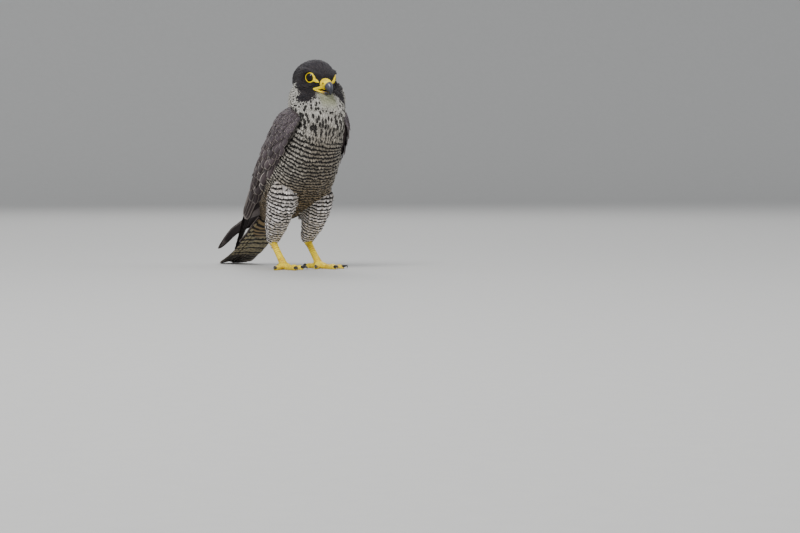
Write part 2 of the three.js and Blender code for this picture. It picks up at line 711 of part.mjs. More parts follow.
function makeBird() {
  const solids = makeHeadNeckTorso();
  Object.assign(solids, makeBill());
  const bodyGrown = loft(BODY, { ...BODY_MESH, grow: GROW }).add(solids.torso.translate([0, GAP, GAP]));
  for (const [side, name] of [[1, "left"], [-1, "right"]]) {
    solids[`eye_${name}`] = ball(EYE_RADIUS, eyePlace(side), 8, 14);
    Object.assign(solids, makeLeg(side, name, bodyGrown));
    solids[`wing_${name}`] = makeWing(side, bodyGrown);
  }
  const floor = halfSpace(new THREE.Vector3(0, 0, 0), new THREE.Vector3(0, 0, 1));
  solids.tail = largest(makeTail().subtract(bodyGrown).intersect(floor));
  return solids;
}

const bird = new THREE.Group();
for (const [name, made] of Object.entries(makeBird())) bird.add(meshOf(name, made));
const box = new THREE.Box3().setFromObject(bird);
const middle = box.getCenter(new THREE.Vector3());
bird.position.set(-middle.x, -middle.y, -box.min.z);

export default bird;
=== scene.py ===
"""An adult peregrine falcon, life size, standing with folded wings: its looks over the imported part.

Lengths are millimetres unless a name says otherwise. The bird faces -Y and its left side is +X.
"""
import math

import bmesh
import bpy
import numpy as np
from bpy.props import FloatProperty, FloatVectorProperty, IntProperty, PointerProperty
from mathutils import Matrix, Vector
from mathutils.bvhtree import BVHTree


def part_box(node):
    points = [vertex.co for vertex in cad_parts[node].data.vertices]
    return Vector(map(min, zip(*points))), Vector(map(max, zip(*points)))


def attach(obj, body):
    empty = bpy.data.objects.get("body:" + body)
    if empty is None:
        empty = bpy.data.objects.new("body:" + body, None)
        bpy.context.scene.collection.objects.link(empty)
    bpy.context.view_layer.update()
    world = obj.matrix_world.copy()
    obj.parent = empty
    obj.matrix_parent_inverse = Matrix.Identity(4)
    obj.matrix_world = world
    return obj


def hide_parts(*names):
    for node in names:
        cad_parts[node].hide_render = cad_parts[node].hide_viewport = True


bl_info = {
    "name": "Peregrine falcon",
    "version": (1, 0, 0),
    "blender": (4, 5, 0),
    "location": "3D View > Sidebar > Falcon",
    "description": "Skin, feathers, bare parts and stage of a standing peregrine falcon",
    "category": "Object",
}

MM = 0.001
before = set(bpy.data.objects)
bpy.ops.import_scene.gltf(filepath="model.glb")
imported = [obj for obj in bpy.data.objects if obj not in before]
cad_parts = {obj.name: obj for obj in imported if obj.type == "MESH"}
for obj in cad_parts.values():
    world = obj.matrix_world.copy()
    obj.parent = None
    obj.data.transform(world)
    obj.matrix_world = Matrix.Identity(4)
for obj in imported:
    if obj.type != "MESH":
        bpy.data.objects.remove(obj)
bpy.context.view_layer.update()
made = {}  # what one step leaves for the next

# Sizes that the part is built from
TAIL_LENGTH = 158
TARSUS_RADIUS = 4.4
MIDDLE_TOE = 48
EYE_RADIUS = 8.6

HEAD_MIDDLE = (6.5, -60, 253)
HEAD_YAW, HEAD_PITCH, HEAD_ROLL = 8, 10, 2
HEAD_TURN = np.array(
    Matrix.Rotation(math.radians(HEAD_YAW), 3, "Z")
    @ Matrix.Rotation(math.radians(HEAD_ROLL), 3, "Y")
    @ Matrix.Rotation(math.radians(HEAD_PITCH), 3, "X")
)
EYE = (11.4, 14.6, 4)  # ahead, out, up from the middle of the head
EYE_WAY = (0.46, 0.88, -0.05)
EYE_SINK = 0.6  # how far the eye lies back among the feathers
RING_WIDTH = 2.1
RING_REACH = 6.9  # from the eye's axis out to the first feathers
EYE_REACH = 13  # from the eye's axis out to where the skin isn't pressed back any more
SCUTE = 2.3  # from one scute to the next on the legs and toes
# Yellow lips of the gape: [ahead, out, up, half width]
UPPER_LIP = [[29, 6.6, -7.4, 1.9], [24.5, 8.6, -8.6, 2.3], [20.5, 11.4, -9.6, 1.7], [17.2, 14.0, -10.2, 0.5]]
LOWER_LIP = [[27, 6.6, -12.3, 0.9], [23, 8.8, -12.3, 1.1], [19.5, 11.4, -12.2, 0.9], [17, 13.6, -11.8, 0.4]]
# Bare patch from the front of the eye towards the cere: [ahead, out, up, half width]
LORE_PATCH = [[19.4, 17.4, 1.6, 2.0], [20.4, 15.6, 1.5, 2.5], [22.0, 12.8, 0.3, 1.9], [23.6, 10.2, -1.2, 0.4]]


def box_middle(node):
    """Middle of a node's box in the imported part."""
    low, high = (np.array(corner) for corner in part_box(node))
    return (low + high) / 2 / MM


def mix(a, b, share):
    return a + (b - a) * share


def smooth(x, low, high):
    """0 below low, 1 above high, smooth between."""
    f = np.clip((np.asarray(x, float) - low) / (high - low), 0, 1)
    return f * f * (3 - 2 * f)


def unit(v):
    return v / np.maximum(np.linalg.norm(v, axis=-1, keepdims=True), 1e-9)


def stack(*columns):
    """Columns of numbers side by side, each stretched to the same length."""
    return np.stack(np.broadcast_arrays(*(np.asarray(c, float) for c in columns)), -1)


def turns(count):
    """Angles of one whole turn in equal steps."""
    return np.linspace(0, 2 * math.pi, count, endpoint=False)


def head_way(ahead, left, up):
    """Direction given in the head's own frame."""
    return stack(left, -np.asarray(ahead, float), up) @ HEAD_TURN.T


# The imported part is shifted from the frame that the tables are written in.
SHIFT = (box_middle("eye_left") + box_middle("eye_right")) / 2 - (
    np.array(HEAD_MIDDLE) + head_way(EYE[0], 0, EYE[2])
)


def at(left, ahead, up):
    """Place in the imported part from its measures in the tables."""
    return stack(left, -np.asarray(ahead, float), up) + SHIFT


def on_head(ahead, left, up):
    """Place given by how far it is ahead, left and up from the middle of the head."""
    return np.array(HEAD_MIDDLE) + SHIFT + head_way(ahead, left, up)


def from_head(points):
    """How far points are ahead, left and up from the middle of the head."""
    local = (np.asarray(points) - HEAD_MIDDLE - SHIFT) @ HEAD_TURN
    return -local[..., 1], local[..., 0], local[..., 2]


def height_of(points):
    """Height of points as the tables give it."""
    return points[:, 2] - SHIFT[2]


def eye_axis(side):
    """Middle of an eye of the part and the way it looks."""
    middle = on_head(EYE[0], side * EYE[1], EYE[2])
    return middle, unit(head_way(EYE_WAY[0], side * EYE_WAY[1], EYE_WAY[2]))


def station(table, t):
    """Smooth curve through the rows of a table, t from 0 to 1."""
    rows = np.asarray(table, float)
    x = np.clip(np.asarray(t, float), 0, 1) * (len(rows) - 1)
    i = np.minimum(x.astype(int), len(rows) - 2)
    f = (x - i)[..., None]
    a, b, c, d = (rows[np.clip(i + k, 0, len(rows) - 1)] for k in (-1, 0, 1, 2))
    start, end = (c - a) / 2, (d - b) / 2
    return (
        (2 * f**3 - 3 * f**2 + 1) * b
        + (f**3 - 2 * f**2 + f) * start
        + (3 * f**2 - 2 * f**3) * c
        + (f**3 - f**2) * end
    )


# Tables of the part: [left, ahead, up, half width, depth to the back, depth to the front]
BODY = [
    [7, 44, 259, 17, 13, 6],
    [8, 46, 250, 26.5, 20, 10],
    [9, 50, 240, 32, 25, 18],
    [9, 56, 227, 35.5, 29, 27],
    [7, 60, 213, 37, 31, 37],
    [4, 59, 198, 40.5, 34, 43],
    [1, 50, 182, 43, 40, 48],
    [0, 36, 164, 46.5, 43, 54],
    [0, 16, 143, 48.5, 45, 56],
    [0, -4, 124, 46.5, 44, 53],
    [0, -24, 106, 40.5, 38.5, 44],
    [0, -45, 90, 30, 31, 30],
    [0, -64, 77, 20, 20, 16],
    [0, -76, 69, 14, 11, 9],
]
THIGH = [
    [27, 30, 128, 4, 4, 4],
    [28, 34, 119, 15, 14, 15],
    [30, 35, 104, 19.5, 18, 21],
    [31, 29, 85, 19.5, 18, 21],
    [31, 18, 65, 16.5, 15.5, 17],
    [30, 7, 49, 12.5, 11.5, 12.5],
    [30, 0, 39, 9, 8, 9],
]
HEEL = [30, -1, 38]
BALL_OF_FOOT = [30, 33, 9]
LEFT_LEG = [-2, -13]  # the left leg's place from the right one's: out and ahead
TAIL_CORE = [
    [0, -77.5, 68, 14.5, 9, 10],
    [0, -86, 61.5, 18, 8.5, 10.5],
    [0, -99, 53, 18.5, 6.5, 9.5],
    [0, -114, 44.5, 16, 4.5, 7],
    [0, -128, 37.5, 11, 3, 4.5],
]
# The bill: [ahead, rise, half width, up, down] along the head's axis
BILL = [
    [18, -3, 9.6, 7.4, 8.4],
    [24, -2.4, 7.9, 7.2, 7.8],
    [29, -2.9, 6.4, 6.6, 6.8],
    [33.4, -4.6, 5, 5.8, 5.8],
    [36.6, -8, 3.6, 4.8, 4.5],
    [38, -12.2, 2.1, 3.3, 2.8],
    [37.5, -15.2, 0.8, 1, 0.9],
]
LOWER_BILL = [
    [11, -12.2, 9.6, 2.4, 4.2],
    [18, -12.4, 8.4, 2.3, 4.6],
    [24.5, -12.8, 6.6, 2.1, 4.2],
    [30, -13.1, 4.6, 1.8, 3.3],
    [34, -13, 2.2, 1, 1.7],
]
# Brow over the eye: [ahead, out, up, half width, half height]
BROW = [[0, 23.4, 11.5, 2.6, 2.4], [8, 21.4, 11.8, 4, 3], [15, 16.6, 10.2, 4, 3], [21, 10.6, 7, 2, 2]]
# Rows of the folded wing's shield, from the bend to the tip: [side, ahead, up]
WING_EDGE = [
    [31, 94, 203],
    [41, 86, 180],
    [45, 64, 153],
    [45, 31, 125],
    [41, -8, 101],
    [36, -46, 80],
    [29, -82, 61],
    [20, -116, 46],
    [10, -148, 33],
    [0, -178, 23],
    [-10, -204, 16],
]
WING_RIDGE = [
    [39, 82, 213],
    [49, 60, 200],
    [52, 29, 172],
    [50, -3, 144],
    [45, -34, 118],
    [37, -66, 95],
    [27, -98, 74],
    [16, -128, 55],
    [5, -155, 40],
    [-4, -180, 28],
    [-12, -203, 18],
]
WING_BACK = [
    [28, 68, 217],
    [23, 34, 214],
    [16, -4, 195],
    [10, -35, 166],
    [6, -62, 138],
    [4, -86, 112],
    [3, -109, 89],
    [1, -133, 64],
    [-5, -156, 42],
    [-11, -180, 28],
    [-15, -202, 18],
]
WING_CORE_END = 0.6
CROSSING = {1: (-9, 19, 11), -1: (9, 3, 0)}  # how far a wing's end is carried out, lifted and sunk
SIDES = {1: "left", -1: "right"}


def on_leg(side, row):
    """Row of a leg's table moved to that side's place."""
    out, ahead, *rest = row
    inwards, forwards = LEFT_LEG if side > 0 else (0, 0)
    return [side * (out + inwards), ahead + forwards, *rest]


def on_face(table, side, count):
    """Rows of a table of the face, and their middles on one side."""
    rows = station(table, np.linspace(0, 1, count))
    return rows, on_head(rows[:, 0], side * rows[:, 1], rows[:, 2])


def batches(points, size):
    """Slices that go through many points a batch at a time."""
    return [slice(first, first + size) for first in range(0, len(points), size)]


class LineOfMiddles:
    """Line through the middles of a table's sections, with the distance along it."""

    def __init__(self, table, samples=240):
        t = np.linspace(0, 1, samples)
        self.rows = station(table, t)
        self.places = at(*self.rows[:, :3].T)
        steps = np.linalg.norm(np.diff(self.places, axis=0), axis=1)
        self.along = np.concatenate([[0], np.cumsum(steps)])
        self.way = unit(np.gradient(self.places, axis=0))

    def nearest(self, points):
        return ((points[:, None] - self.places) ** 2).sum(-1).argmin(1)

    def lay(self, points):
        """Distance round and along the line for each point, and its direction of growth."""
        out = np.zeros((len(points), 3))
        grows = np.zeros((len(points), 3))
        for part in batches(points, 20000):
            i = self.nearest(points[part])
            from_line = points[part] - self.places[i]
            beyond = (from_line * self.way[i]).sum(-1)
            turn = np.arctan2(from_line[:, 0], -from_line[:, 1] + 0.6 * from_line[:, 2])
            out[part, 0] = turn * self.rows[i, 3]
            out[part, 1] = self.along[i] + beyond
            grows[part] = self.way[i]
        return out, grows


def wing_point(side, s, t):
    """Place on a folded wing: s from its bend to its tip, t from its front edge to its back."""
    s, t = np.broadcast_arrays(np.asarray(s, float), np.asarray(t, float))
    edge, ridge, back = (station(rows, s) for rows in (WING_EDGE, WING_RIDGE, WING_BACK))
    over, lift, sink = CROSSING[side]
    t = t[..., None]
    bend = 2 * ridge - (edge + back) / 2
    place = (1 - t) ** 2 * edge + 2 * t * (1 - t) * bend + t * t * back
    raised = lift * smooth(s, 0.45, 0.82) - sink * smooth(s, 0.85, 1)
    out = place[..., 0] + over * smooth(s, 0.5, 1)
    return at(side * out, place[..., 1], place[..., 2] + raised)


def wing_frame(side, s, t):
    """Place, way along, way across and outward normal on a folded wing."""
    e = 0.01
    s0 = np.clip(s, e, 1 - e)
    along = unit(wing_point(side, s0 + e, t) - wing_point(side, s0 - e, t))
    across = wing_point(side, s, t + e) - wing_point(side, s, t - e)
    across = unit(across - (across * along).sum(-1, keepdims=True) * along)
    return wing_point(side, s, t), along, across, np.cross(along, across) * side


# Meshes
class Shape:
    """Points, faces and per-point layers that become one mesh of closed solids."""

    def __init__(self):
        self.points, self.faces, self.layers, self.count = [], [], {}, 0

    def add(self, points, faces, **layers):
        self.faces += [tuple(i + self.count for i in face) for face in faces]
        self.points.append(np.asarray(points, float))
        self.count += len(points)
        for name, value in layers.items():
            value = np.broadcast_to(np.asarray(value, float), (len(points), 3))
            self.layers.setdefault(name, []).append(value)

    def add_rings(self, rings, **layers):
        """Closed solid through rings of points, each end closed by a fan to its middle."""
        rings = np.asarray(rings, float)
        n, m = rings.shape[:2]
        faces = []
        for i in range(n - 1):
            for k in range(m):
                a, b = i * m + k, i * m + (k + 1) % m
                faces.append((a, b, b + m, a + m))
        for ring, centre in ((0, n * m), (n - 1, n * m + 1)):
            for k in range(m):
                a, b = ring * m + k, ring * m + (k + 1) % m
                faces.append((centre, b, a) if ring == 0 else (centre, a, b))

        def closed(layer):
            layer = np.broadcast_to(np.asarray(layer, float), (n, m, 3))
            ends = np.stack([layer[0].mean(0), layer[-1].mean(0)])
            return np.concatenate([layer.reshape(-1, 3), ends])

        self.add(closed(rings), faces, **{name: closed(value) for name, value in layers.items()})

    def add_ball(self, middle, radius, rows, around):
        a = np.linspace(0.02, math.pi - 0.02, rows)
        middles = middle + stack(0, 0, radius * np.cos(a))
        self.add_rings(ring_of(middles, [1.0, 0, 0], [0, 1.0, 0], radius * np.sin(a), around))

    def build(self, name, material):
        mesh = bpy.data.meshes.new(name)
        mesh.from_pydata((np.concatenate(self.points) * MM).tolist(), [], self.faces)
        for layer, values in self.layers.items():
            set_layer(mesh, layer, np.concatenate(values))
        face_outward(mesh)
        mesh.materials.append(material)
        mesh.shade_smooth()
        return link(name, mesh)


def solid(name, material, rings, **layers):
    """Piece that is one closed solid through rings of points."""
    shape = Shape()
    shape.add_rings(rings, **layers)
    return shape.build(name, material)


def link(name, mesh):
    piece = bpy.data.objects.new(name, mesh)
    bpy.context.scene.collection.objects.link(piece)
    return piece


def face_outward(mesh):
    """Turns the faces of a mesh of closed solids outward."""
    solids = bmesh.new()
    solids.from_mesh(mesh)
    bmesh.ops.recalc_face_normals(solids, faces=solids.faces)
    solids.to_mesh(mesh)
    solids.free()


def evaluated(piece):
    """Plain mesh of a piece with its modifiers applied."""
    shown = piece.evaluated_get(bpy.context.evaluated_depsgraph_get())
    return bpy.data.meshes.new_from_object(shown)


def melted(piece, voxel, rounds):
    """One closed even mesh in place of a piece of overlapping solids."""
    remesh = piece.modifiers.new("Remesh", "REMESH")
    remesh.mode, remesh.voxel_size = "VOXEL", voxel * MM
    even = piece.modifiers.new("Smooth", "SMOOTH")
    even.factor, even.iterations = 0.5, rounds
    mesh = evaluated(piece)
    bpy.data.objects.remove(piece)
    return mesh


def move_points(mesh, points):
    mesh.vertices.foreach_set("co", (points * MM).astype(np.float32).ravel())
    mesh.update()


def numbers_of(items, what):
    """Three numbers of each item of a mesh."""
    values = np.empty(len(items) * 3, np.float32)
    items.foreach_get(what, values)
    return values.reshape(-1, 3)


def places_of(mesh):
    return (numbers_of(mesh.vertices, "co") / MM).astype(float)


def normals_of(mesh):
    return numbers_of(mesh.vertex_normals, "vector").astype(float)


def layer_of(mesh, name):
    return numbers_of(mesh.attributes[name].data, "vector")


def set_layer(mesh, name, values):
    """Gives each point of a mesh three numbers."""
    attribute = mesh.attributes.get(name) or mesh.attributes.new(name, "FLOAT_VECTOR", "POINT")
    attribute.data.foreach_set("vector", np.asarray(values, np.float32).ravel())


def set_bake_map(mesh):
    """Bake map: each feather is a small patch at its root's place on the unwrapped skin."""
    patch = 0.003
    corners = np.empty(len(mesh.loops), np.int32)
    mesh.loops.foreach_get("vertex_index", corners)
    root, vane = layer_of(mesh, "Root"), layer_of(mesh, "Vane")
    across = (vane[:, 0] + 1) / 2
    uv = np.stack([root[:, 0] + patch * across, root[:, 1] + patch * vane[:, 1]], -1)
    mesh.uv_layers.new(name="OFBake").data.foreach_set("uv", uv[corners].ravel())
    mesh.attributes.remove(mesh.attributes["Root"])


def ring_of(middles, side, up, radii, around):
    """Rings about middles: radii is one number a ring, or a pair (sideways, upwards)."""
    a = turns(around)
    side, up = (np.broadcast_to(way, middles.shape)[:, None] for way in (side, up))
    if radii.ndim == 1:
        radii = stack(radii, radii)
    return (
        middles[:, None]
        + side * (radii[:, 0, None] * np.cos(a))[..., None]
        + up * (radii[:, 1, None] * np.sin(a))[..., None]
    )


def tube_rings(table, count, around):
    """Rings of a round tube through [left, ahead, up, radius] stations."""
    rows = station(table, np.linspace(0, 1, count))
    middles = at(*rows[:, :3].T)
    way = unit(np.gradient(middles, axis=0))
    side = unit(np.cross(way, [0, 0, 1]))
    return ring_of(middles, side, unit(np.cross(side, way)), rows[:, 3], around)


def hoop(points):
    """Points and faces of a closed hoop, from its cross sections in order."""
    n, m = points.shape[:2]
    faces = []
    for i in range(n):
        for k in range(m):
            a, b = i * m + k, i * m + (k + 1) % m
            c, d = ((i + 1) % n) * m + (k + 1) % m, ((i + 1) % n) * m + k
            faces.append((a, b, c, d))
    return points.reshape(-1, 3), faces


def bill_rings(table, shares, around, grow=0.0):
    """Rings of the bill at shares of its length, and the angle round each."""
    rows = station(table, shares)
    before, after = station(table, shares - 0.02), station(table, shares + 0.02)
    lean = np.arctan2(after[:, 1] - before[:, 1], after[:, 0] - before[:, 0])[:, None]
    a = turns(around)[None]
    high = np.sin(a) * (np.where(np.sin(a) > 0, rows[:, 3, None], rows[:, 4, None]) + grow)
    ahead = rows[:, 0, None] - high * np.sin(lean)
    up = rows[:, 1, None] + high * np.cos(lean)
    return ahead, (rows[:, 2, None] + grow) * np.cos(a), up, np.broadcast_to(a, ahead.shape)


# Materials
class Value:
    """A shader socket with the operators that expressions on it use."""

    def __init__(self, paint, socket):
        self.paint, self.socket = paint, socket

    def _maths(self, operation, *values):
        return self.paint.node("ShaderNodeMath", dict(enumerate(values)), operation=operation)

    def __add__(self, other):
        return self._maths("ADD", self, other)

    def __sub__(self, other):
        return self._maths("SUBTRACT", self, other)

    def __rsub__(self, other):
        return self._maths("SUBTRACT", other, self)

    def __mul__(self, other):
        return self._maths("MULTIPLY", self, other)

    def __abs__(self):
        return self._maths("ABSOLUTE", self)

    def sine(self):
        return self._maths("SINE", self)

    def larger(self, other):
        return self._maths("MAXIMUM", self, other)

    def within(self, low, high):
        """0 below low, 1 above high, smooth between."""
        inputs = {0: self, 1: low, 2: high}
        return self.paint.node("ShaderNodeMapRange", inputs, interpolation_type="SMOOTHSTEP")


class Paint:
    """A material under construction; constants go on the shader's own sockets."""

    def __init__(self, name, **constants):
        self.material = bpy.data.materials.new(name)
        self.material.use_nodes = True
        self.tree = self.material.node_tree
        self.shader = self.tree.nodes["Principled BSDF"]
        for socket, value in constants.items():
            self.shader.inputs[socket.replace("_", " ").title().replace("Ior", "IOR")].default_value = value

    def node(self, kind, inputs=(), output=0, **settings):
        """Adds a node: its settings first, then the values or links of its sockets."""
        made_node = self.tree.nodes.new(kind)
        for name, value in settings.items():
            setattr(made_node, name, value)
        for key, value in dict(inputs).items():
            self.feed(made_node.inputs[key], value)
        return Value(self, made_node.outputs[output])

    def feed(self, socket, value):
        if isinstance(value, Value):
            self.tree.links.new(value.socket, socket)
        else:
            socket.default_value = value

    def attribute(self, name):
        return self.node("ShaderNodeAttribute", output="Vector", attribute_name=name)

    def parts(self, vector):
        split = self.node("ShaderNodeSeparateXYZ", {0: vector}).socket.node
        return [Value(self, split.outputs[i]) for i in range(3)]

    def places(self):
        return self.node("ShaderNodeTexCoord", output="Object")

    def noise(self, vector, scale, detail=2.0):
        inputs = {"Vector": vector, "Scale": scale, "Detail": detail}
        return self.node("ShaderNodeTexNoise", inputs, output="Fac")

    def cells(self, vector, scale, randomness=1.0, dimensions="3D"):
        inputs = {"Vector": vector, "Scale": scale, "Randomness": randomness}
        return self.node("ShaderNodeTexVoronoi", inputs, output="Distance", voronoi_dimensions=dimensions)

    def blend(self, a, b, share):
        """Colour a where share is 0 and b where it is 1."""
        return self.node("ShaderNodeMix", {0: share, 6: a, 7: b}, output=2, data_type="RGBA")

    def shade(self, colour, factor):
        """Colour made lighter or darker by a factor."""
        return self.node("ShaderNodeVectorMath", {0: colour, 3: factor}, operation="SCALE")

    def stretched(self, vector, factors):
        """Place with its three measures made larger or smaller by factors."""
        return self.node("ShaderNodeVectorMath", {0: vector, 1: factors}, operation="MULTIPLY")

    def finish(self, colour, height=None, depth=0.0002, strength=0.4, roughness=None):
        """Links what varies to the shader; depth is the relief of height, in metres."""
        self.feed(self.shader.inputs["Base Color"], colour)
        if roughness is not None:
            self.feed(self.shader.inputs["Roughness"], roughness)
        if height is not None:
            inputs = {"Height": height, "Distance": depth, "Strength": strength}
            self.feed(self.shader.inputs["Normal"], self.node("ShaderNodeBump", inputs))
        return self.material


def rgba(colour):
    """Colour with full opacity."""
    return (*colour[:3], 1.0)


SHAFT_COLOUR = (0.012, 0.011, 0.012, 1)
NOSTRIL_SHADE_COLOUR = (0.01, 0.008, 0.006, 1)
PUPIL_COLOUR = (0.002, 0.002, 0.002, 1)
IRIS_STREAKS = (0.012, 0.006, 0.003, 1)
IRIS_RIM = (0.004, 0.003, 0.002, 1)
WORN_CLAW = (0.07, 0.065, 0.065, 1)


def plumage_material(coat):
    """Feathers, from what each of their points knows.

    Tint is the ground colour, Marks the share of bars, drops and pale edge, Vane the place on
    the feather (across, along, a number by chance) and Lay the place on the bird.
    """
    paint = Paint("Plumage", roughness=0.7, specular_ior_level=0.2, sheen_weight=0.05)
    bars, drops, edges = paint.parts(paint.attribute("Marks"))
    across, along, chance = paint.parts(paint.attribute("Vane"))
    lay = paint.attribute("Lay")
    _, down, _ = paint.parts(lay)
    ripple = paint.noise(lay, 0.05) * 6.0 + paint.noise(lay, 0.17) * 4.2 + chance * 0.6
    phase = down * (2 * math.pi / coat.bar_spacing) + ripple + abs(across) * 1.1
    broken = paint.noise(lay, 0.34)
    bar = (phase.sine() + broken * 1.7 + bars * 1.1 - 1.82).within(-0.2, 0.35) * bars.within(0.0, 0.7)
    across_drop, along_drop = 4.7, 4.1  # from drop to drop, in mm
    spot = paint.cells(paint.stretched(lay, (1 / across_drop, 1 / along_drop, 0.0)), 1.0, 0.9, "2D")
    drop = (drops * 0.42 - spot).within(-0.02, 0.04) * (1.0 - abs(across).within(0.72, 0.95))
    edge = abs(across).larger(along * 2.0 - 1.0).within(0.8, 0.9) * edges
    shaft = (1.0 - abs(across).within(0.03, 0.1)) * edges
    barbs = (along * 190.0 - abs(across) * 40.0).sine()
    ground = paint.shade(paint.attribute("Tint"), chance * 0.3 + barbs * 0.05 + 0.85)
    colour = paint.blend(ground, rgba(coat.bar_colour), bar.larger(drop))
    colour = paint.blend(colour, rgba(coat.edge_colour), edge * (chance * 0.5 + 0.5))
    colour = paint.blend(colour, SHAFT_COLOUR, shaft * 0.6)
    return paint.finish(colour, barbs * 0.4 + paint.noise(lay, 1.4), 0.0002, 0.35)


def down_material():
    """The skin's short down, seen only between the feathers."""
    paint = Paint("Down", roughness=0.9, specular_ior_level=0.15)
    speckle = paint.noise(paint.places(), 900.0)
    return paint.finish(paint.shade(paint.attribute("Tint"), speckle * 0.5 + 0.4), speckle, 0.0004)


def bare_skin_material(bare):
    """Waxy yellow skin of the cere, the gape and the ring round the eye: Tone is 1 in a nostril, whose hole
    is painted near black as painted shade.
    """
    paint = Paint("Bare_skin", roughness=0.5, specular_ior_level=0.22, subsurface_weight=0.05)
    paint.shader.inputs["Subsurface Scale"].default_value = 0.001
    broad = paint.noise(paint.places(), 160.0, 3.0)
    fine = paint.cells(paint.places(), 1500.0)
    colour = paint.blend(rgba(bare.yellow), rgba(bare.deep_yellow), broad.within(0.4, 0.72))
    nostril_shade = paint.parts(paint.attribute("Tone"))[0]
    # painted shade: near black where Tone marks a nostril, standing for the shade inside the hole
    colour = paint.blend(colour, NOSTRIL_SHADE_COLOUR, nostril_shade)
    return paint.finish(colour, fine * 0.6 + broad, 0.0003, 0.5, fine * 0.2 + 0.34)


def horn_material(bare):
    """Blue-grey horn of the bill: Tone is how near the dark tip is, and how yellow the horn."""
    paint = Paint("Horn", roughness=0.3, specular_ior_level=0.5, coat_weight=0.3, coat_roughness=0.15)
    tone, yellow, _ = paint.parts(paint.attribute("Tone"))
    grain = paint.noise(paint.stretched(paint.places(), (1.0, 3.0, 1.0)), 420.0, 3.0)
    shift = tone + (grain - 0.5) * 0.16
    colour = paint.blend(rgba(bare.horn), rgba(bare.horn_tip), shift.within(0.3, 0.8))
    colour = paint.blend(colour, rgba(bare.deep_yellow), yellow)
    return paint.finish(colour, grain, 0.00015, 0.3, grain * 0.18 + 0.2)


def eye_material(bare):
    """Wet dark eye: Tone is the angle from its axis as a share of the visible part."""
    paint = Paint("Eye", roughness=0.15, specular_ior_level=0.15, coat_weight=0.25, coat_roughness=0.03)
    angle = paint.parts(paint.attribute("Tone"))[0]
    streaks = paint.noise(paint.places(), 700.0, 3.0)
    iris = paint.blend(rgba(bare.iris), IRIS_STREAKS, streaks.within(0.35, 0.7))
    colour = paint.blend(PUPIL_COLOUR, iris, angle.within(0.5, 0.56))
    return paint.finish(paint.blend(colour, IRIS_RIM, angle.within(0.88, 0.98)))


def scale_material(bare):
    """Scaled yellow skin of the legs and toes: Lay is the place along a toe and how far on top."""
    paint = Paint("Leg_scales", roughness=0.48, specular_ior_level=0.4)
    along, _, top = paint.parts(paint.attribute("Lay"))
    scute = (along * (2 * math.pi / SCUTE)).sine().within(-0.9, -0.3)
    pebbles = 1.0 - paint.cells(paint.places(), 850.0)
    plates = paint.node("ShaderNodeMix", {0: top, 2: pebbles, 3: scute}, data_type="FLOAT")
    broad = paint.noise(paint.places(), 120.0, 3.0)
    colour = paint.blend(rgba(bare.yellow), rgba(bare.deep_yellow), broad.within(0.35, 0.7))
    # darker in the grooves between the scales
    colour = paint.blend(colour, rgba(bare.groove_colour), (1.0 - plates.within(0.15, 0.6)) * 0.55)
    return paint.finish(colour, plates, 0.0006, 0.7, 0.62 - plates * 0.2)


def talon_material(bare):
    """Black horn, a little worn: Tone is 0 at the root of a talon and 1 at its tip."""
    paint = Paint("Talon", roughness=0.25, specular_ior_level=0.5, coat_weight=0.25, coat_roughness=0.2)
    grain = paint.noise(paint.places(), 300.0, 4.0)
    tip = paint.parts(paint.attribute("Tone"))[0]
    colour = paint.blend(rgba(bare.claw), WORN_CLAW, grain.within(0.5, 0.8) * (1.0 - tip))
    return paint.finish(colour, grain, 0.00012, 0.3, grain * 0.2 + 0.16)


def floor_material(stage):
    paint = Paint("Studio_floor", roughness=0.7, specular_ior_level=0.2)
    grain = paint.noise(paint.places(), 60.0)
    colour = paint.blend(rgba(stage.floor_colour), rgba([0.94 * c for c in stage.floor_colour]), grain)
    return paint.finish(colour)


# Sizes and colours a user would change
def colour_choice(name, description, *default):
    return FloatVectorProperty(name=name, description=description, subtype="COLOR", default=default)


class FalconCoat(bpy.types.PropertyGroup):
    """Body feathers"""

    density: FloatProperty(name="Density", description="Feathers per area against the real bird", default=1.0)
    length: FloatProperty(name="Length", description="Length against the real bird", default=1.0)
    ruffle: FloatProperty(
        name="Ruffle", description="How far feathers stand out of line", default=0.1, subtype="ANGLE"
    )
    seed: IntProperty(name="Seed", description="Seed of the small differences", default=7)
    bar_spacing: FloatProperty(name="Bar spacing", description="From bar to bar, in mm", default=4.2)
    slate: colour_choice("Slate", "Crown, face and moustache", 0.019, 0.017, 0.020)
    # the cream is darker than the real pale feathers: it holds painted shade wherever it is used
    cream: colour_choice("Cream", "Throat, cheeks and breast", 0.50, 0.48, 0.43)
    # the belly's ground is partly the buff of its feathers and partly painted shade, so it is darker than the
    # real feathers
    belly: colour_choice("Belly", "Ground between the bars", 0.25, 0.215, 0.17)
    vent: colour_choice("Vent", "Ground under the tail", 0.24, 0.17, 0.085)
    thigh: colour_choice("Thighs", "Ground of the thighs", 0.80, 0.74, 0.70)
    mantle: colour_choice("Mantle", "Back and wings", 0.060, 0.043, 0.044)
    bar_colour: colour_choice("Bars", "Bars and drops", 0.012, 0.010, 0.009)
    edge_colour: colour_choice("Pale edges", "Edges of the wing feathers", 0.62, 0.54, 0.48)


class FalconBareParts(bpy.types.PropertyGroup):
    """Bill, eyes and feet"""

    yellow: colour_choice("Yellow", "Bare skin", 0.95, 0.72, 0.01)
    deep_yellow: colour_choice("Deep yellow", "Its darker patches", 0.70, 0.45, 0.015)
    groove_colour: colour_choice("Grooves", "Between the scales", 0.26, 0.16, 0.03)
    horn: colour_choice("Horn", "Bill", 0.045, 0.046, 0.072)
    horn_tip: colour_choice("Horn tip", "Tip of the bill", 0.012, 0.013, 0.018)
    iris: colour_choice("Iris", "Iris", 0.010, 0.005, 0.003)
    claw: colour_choice("Talons", "Talons", 0.010, 0.010, 0.012)


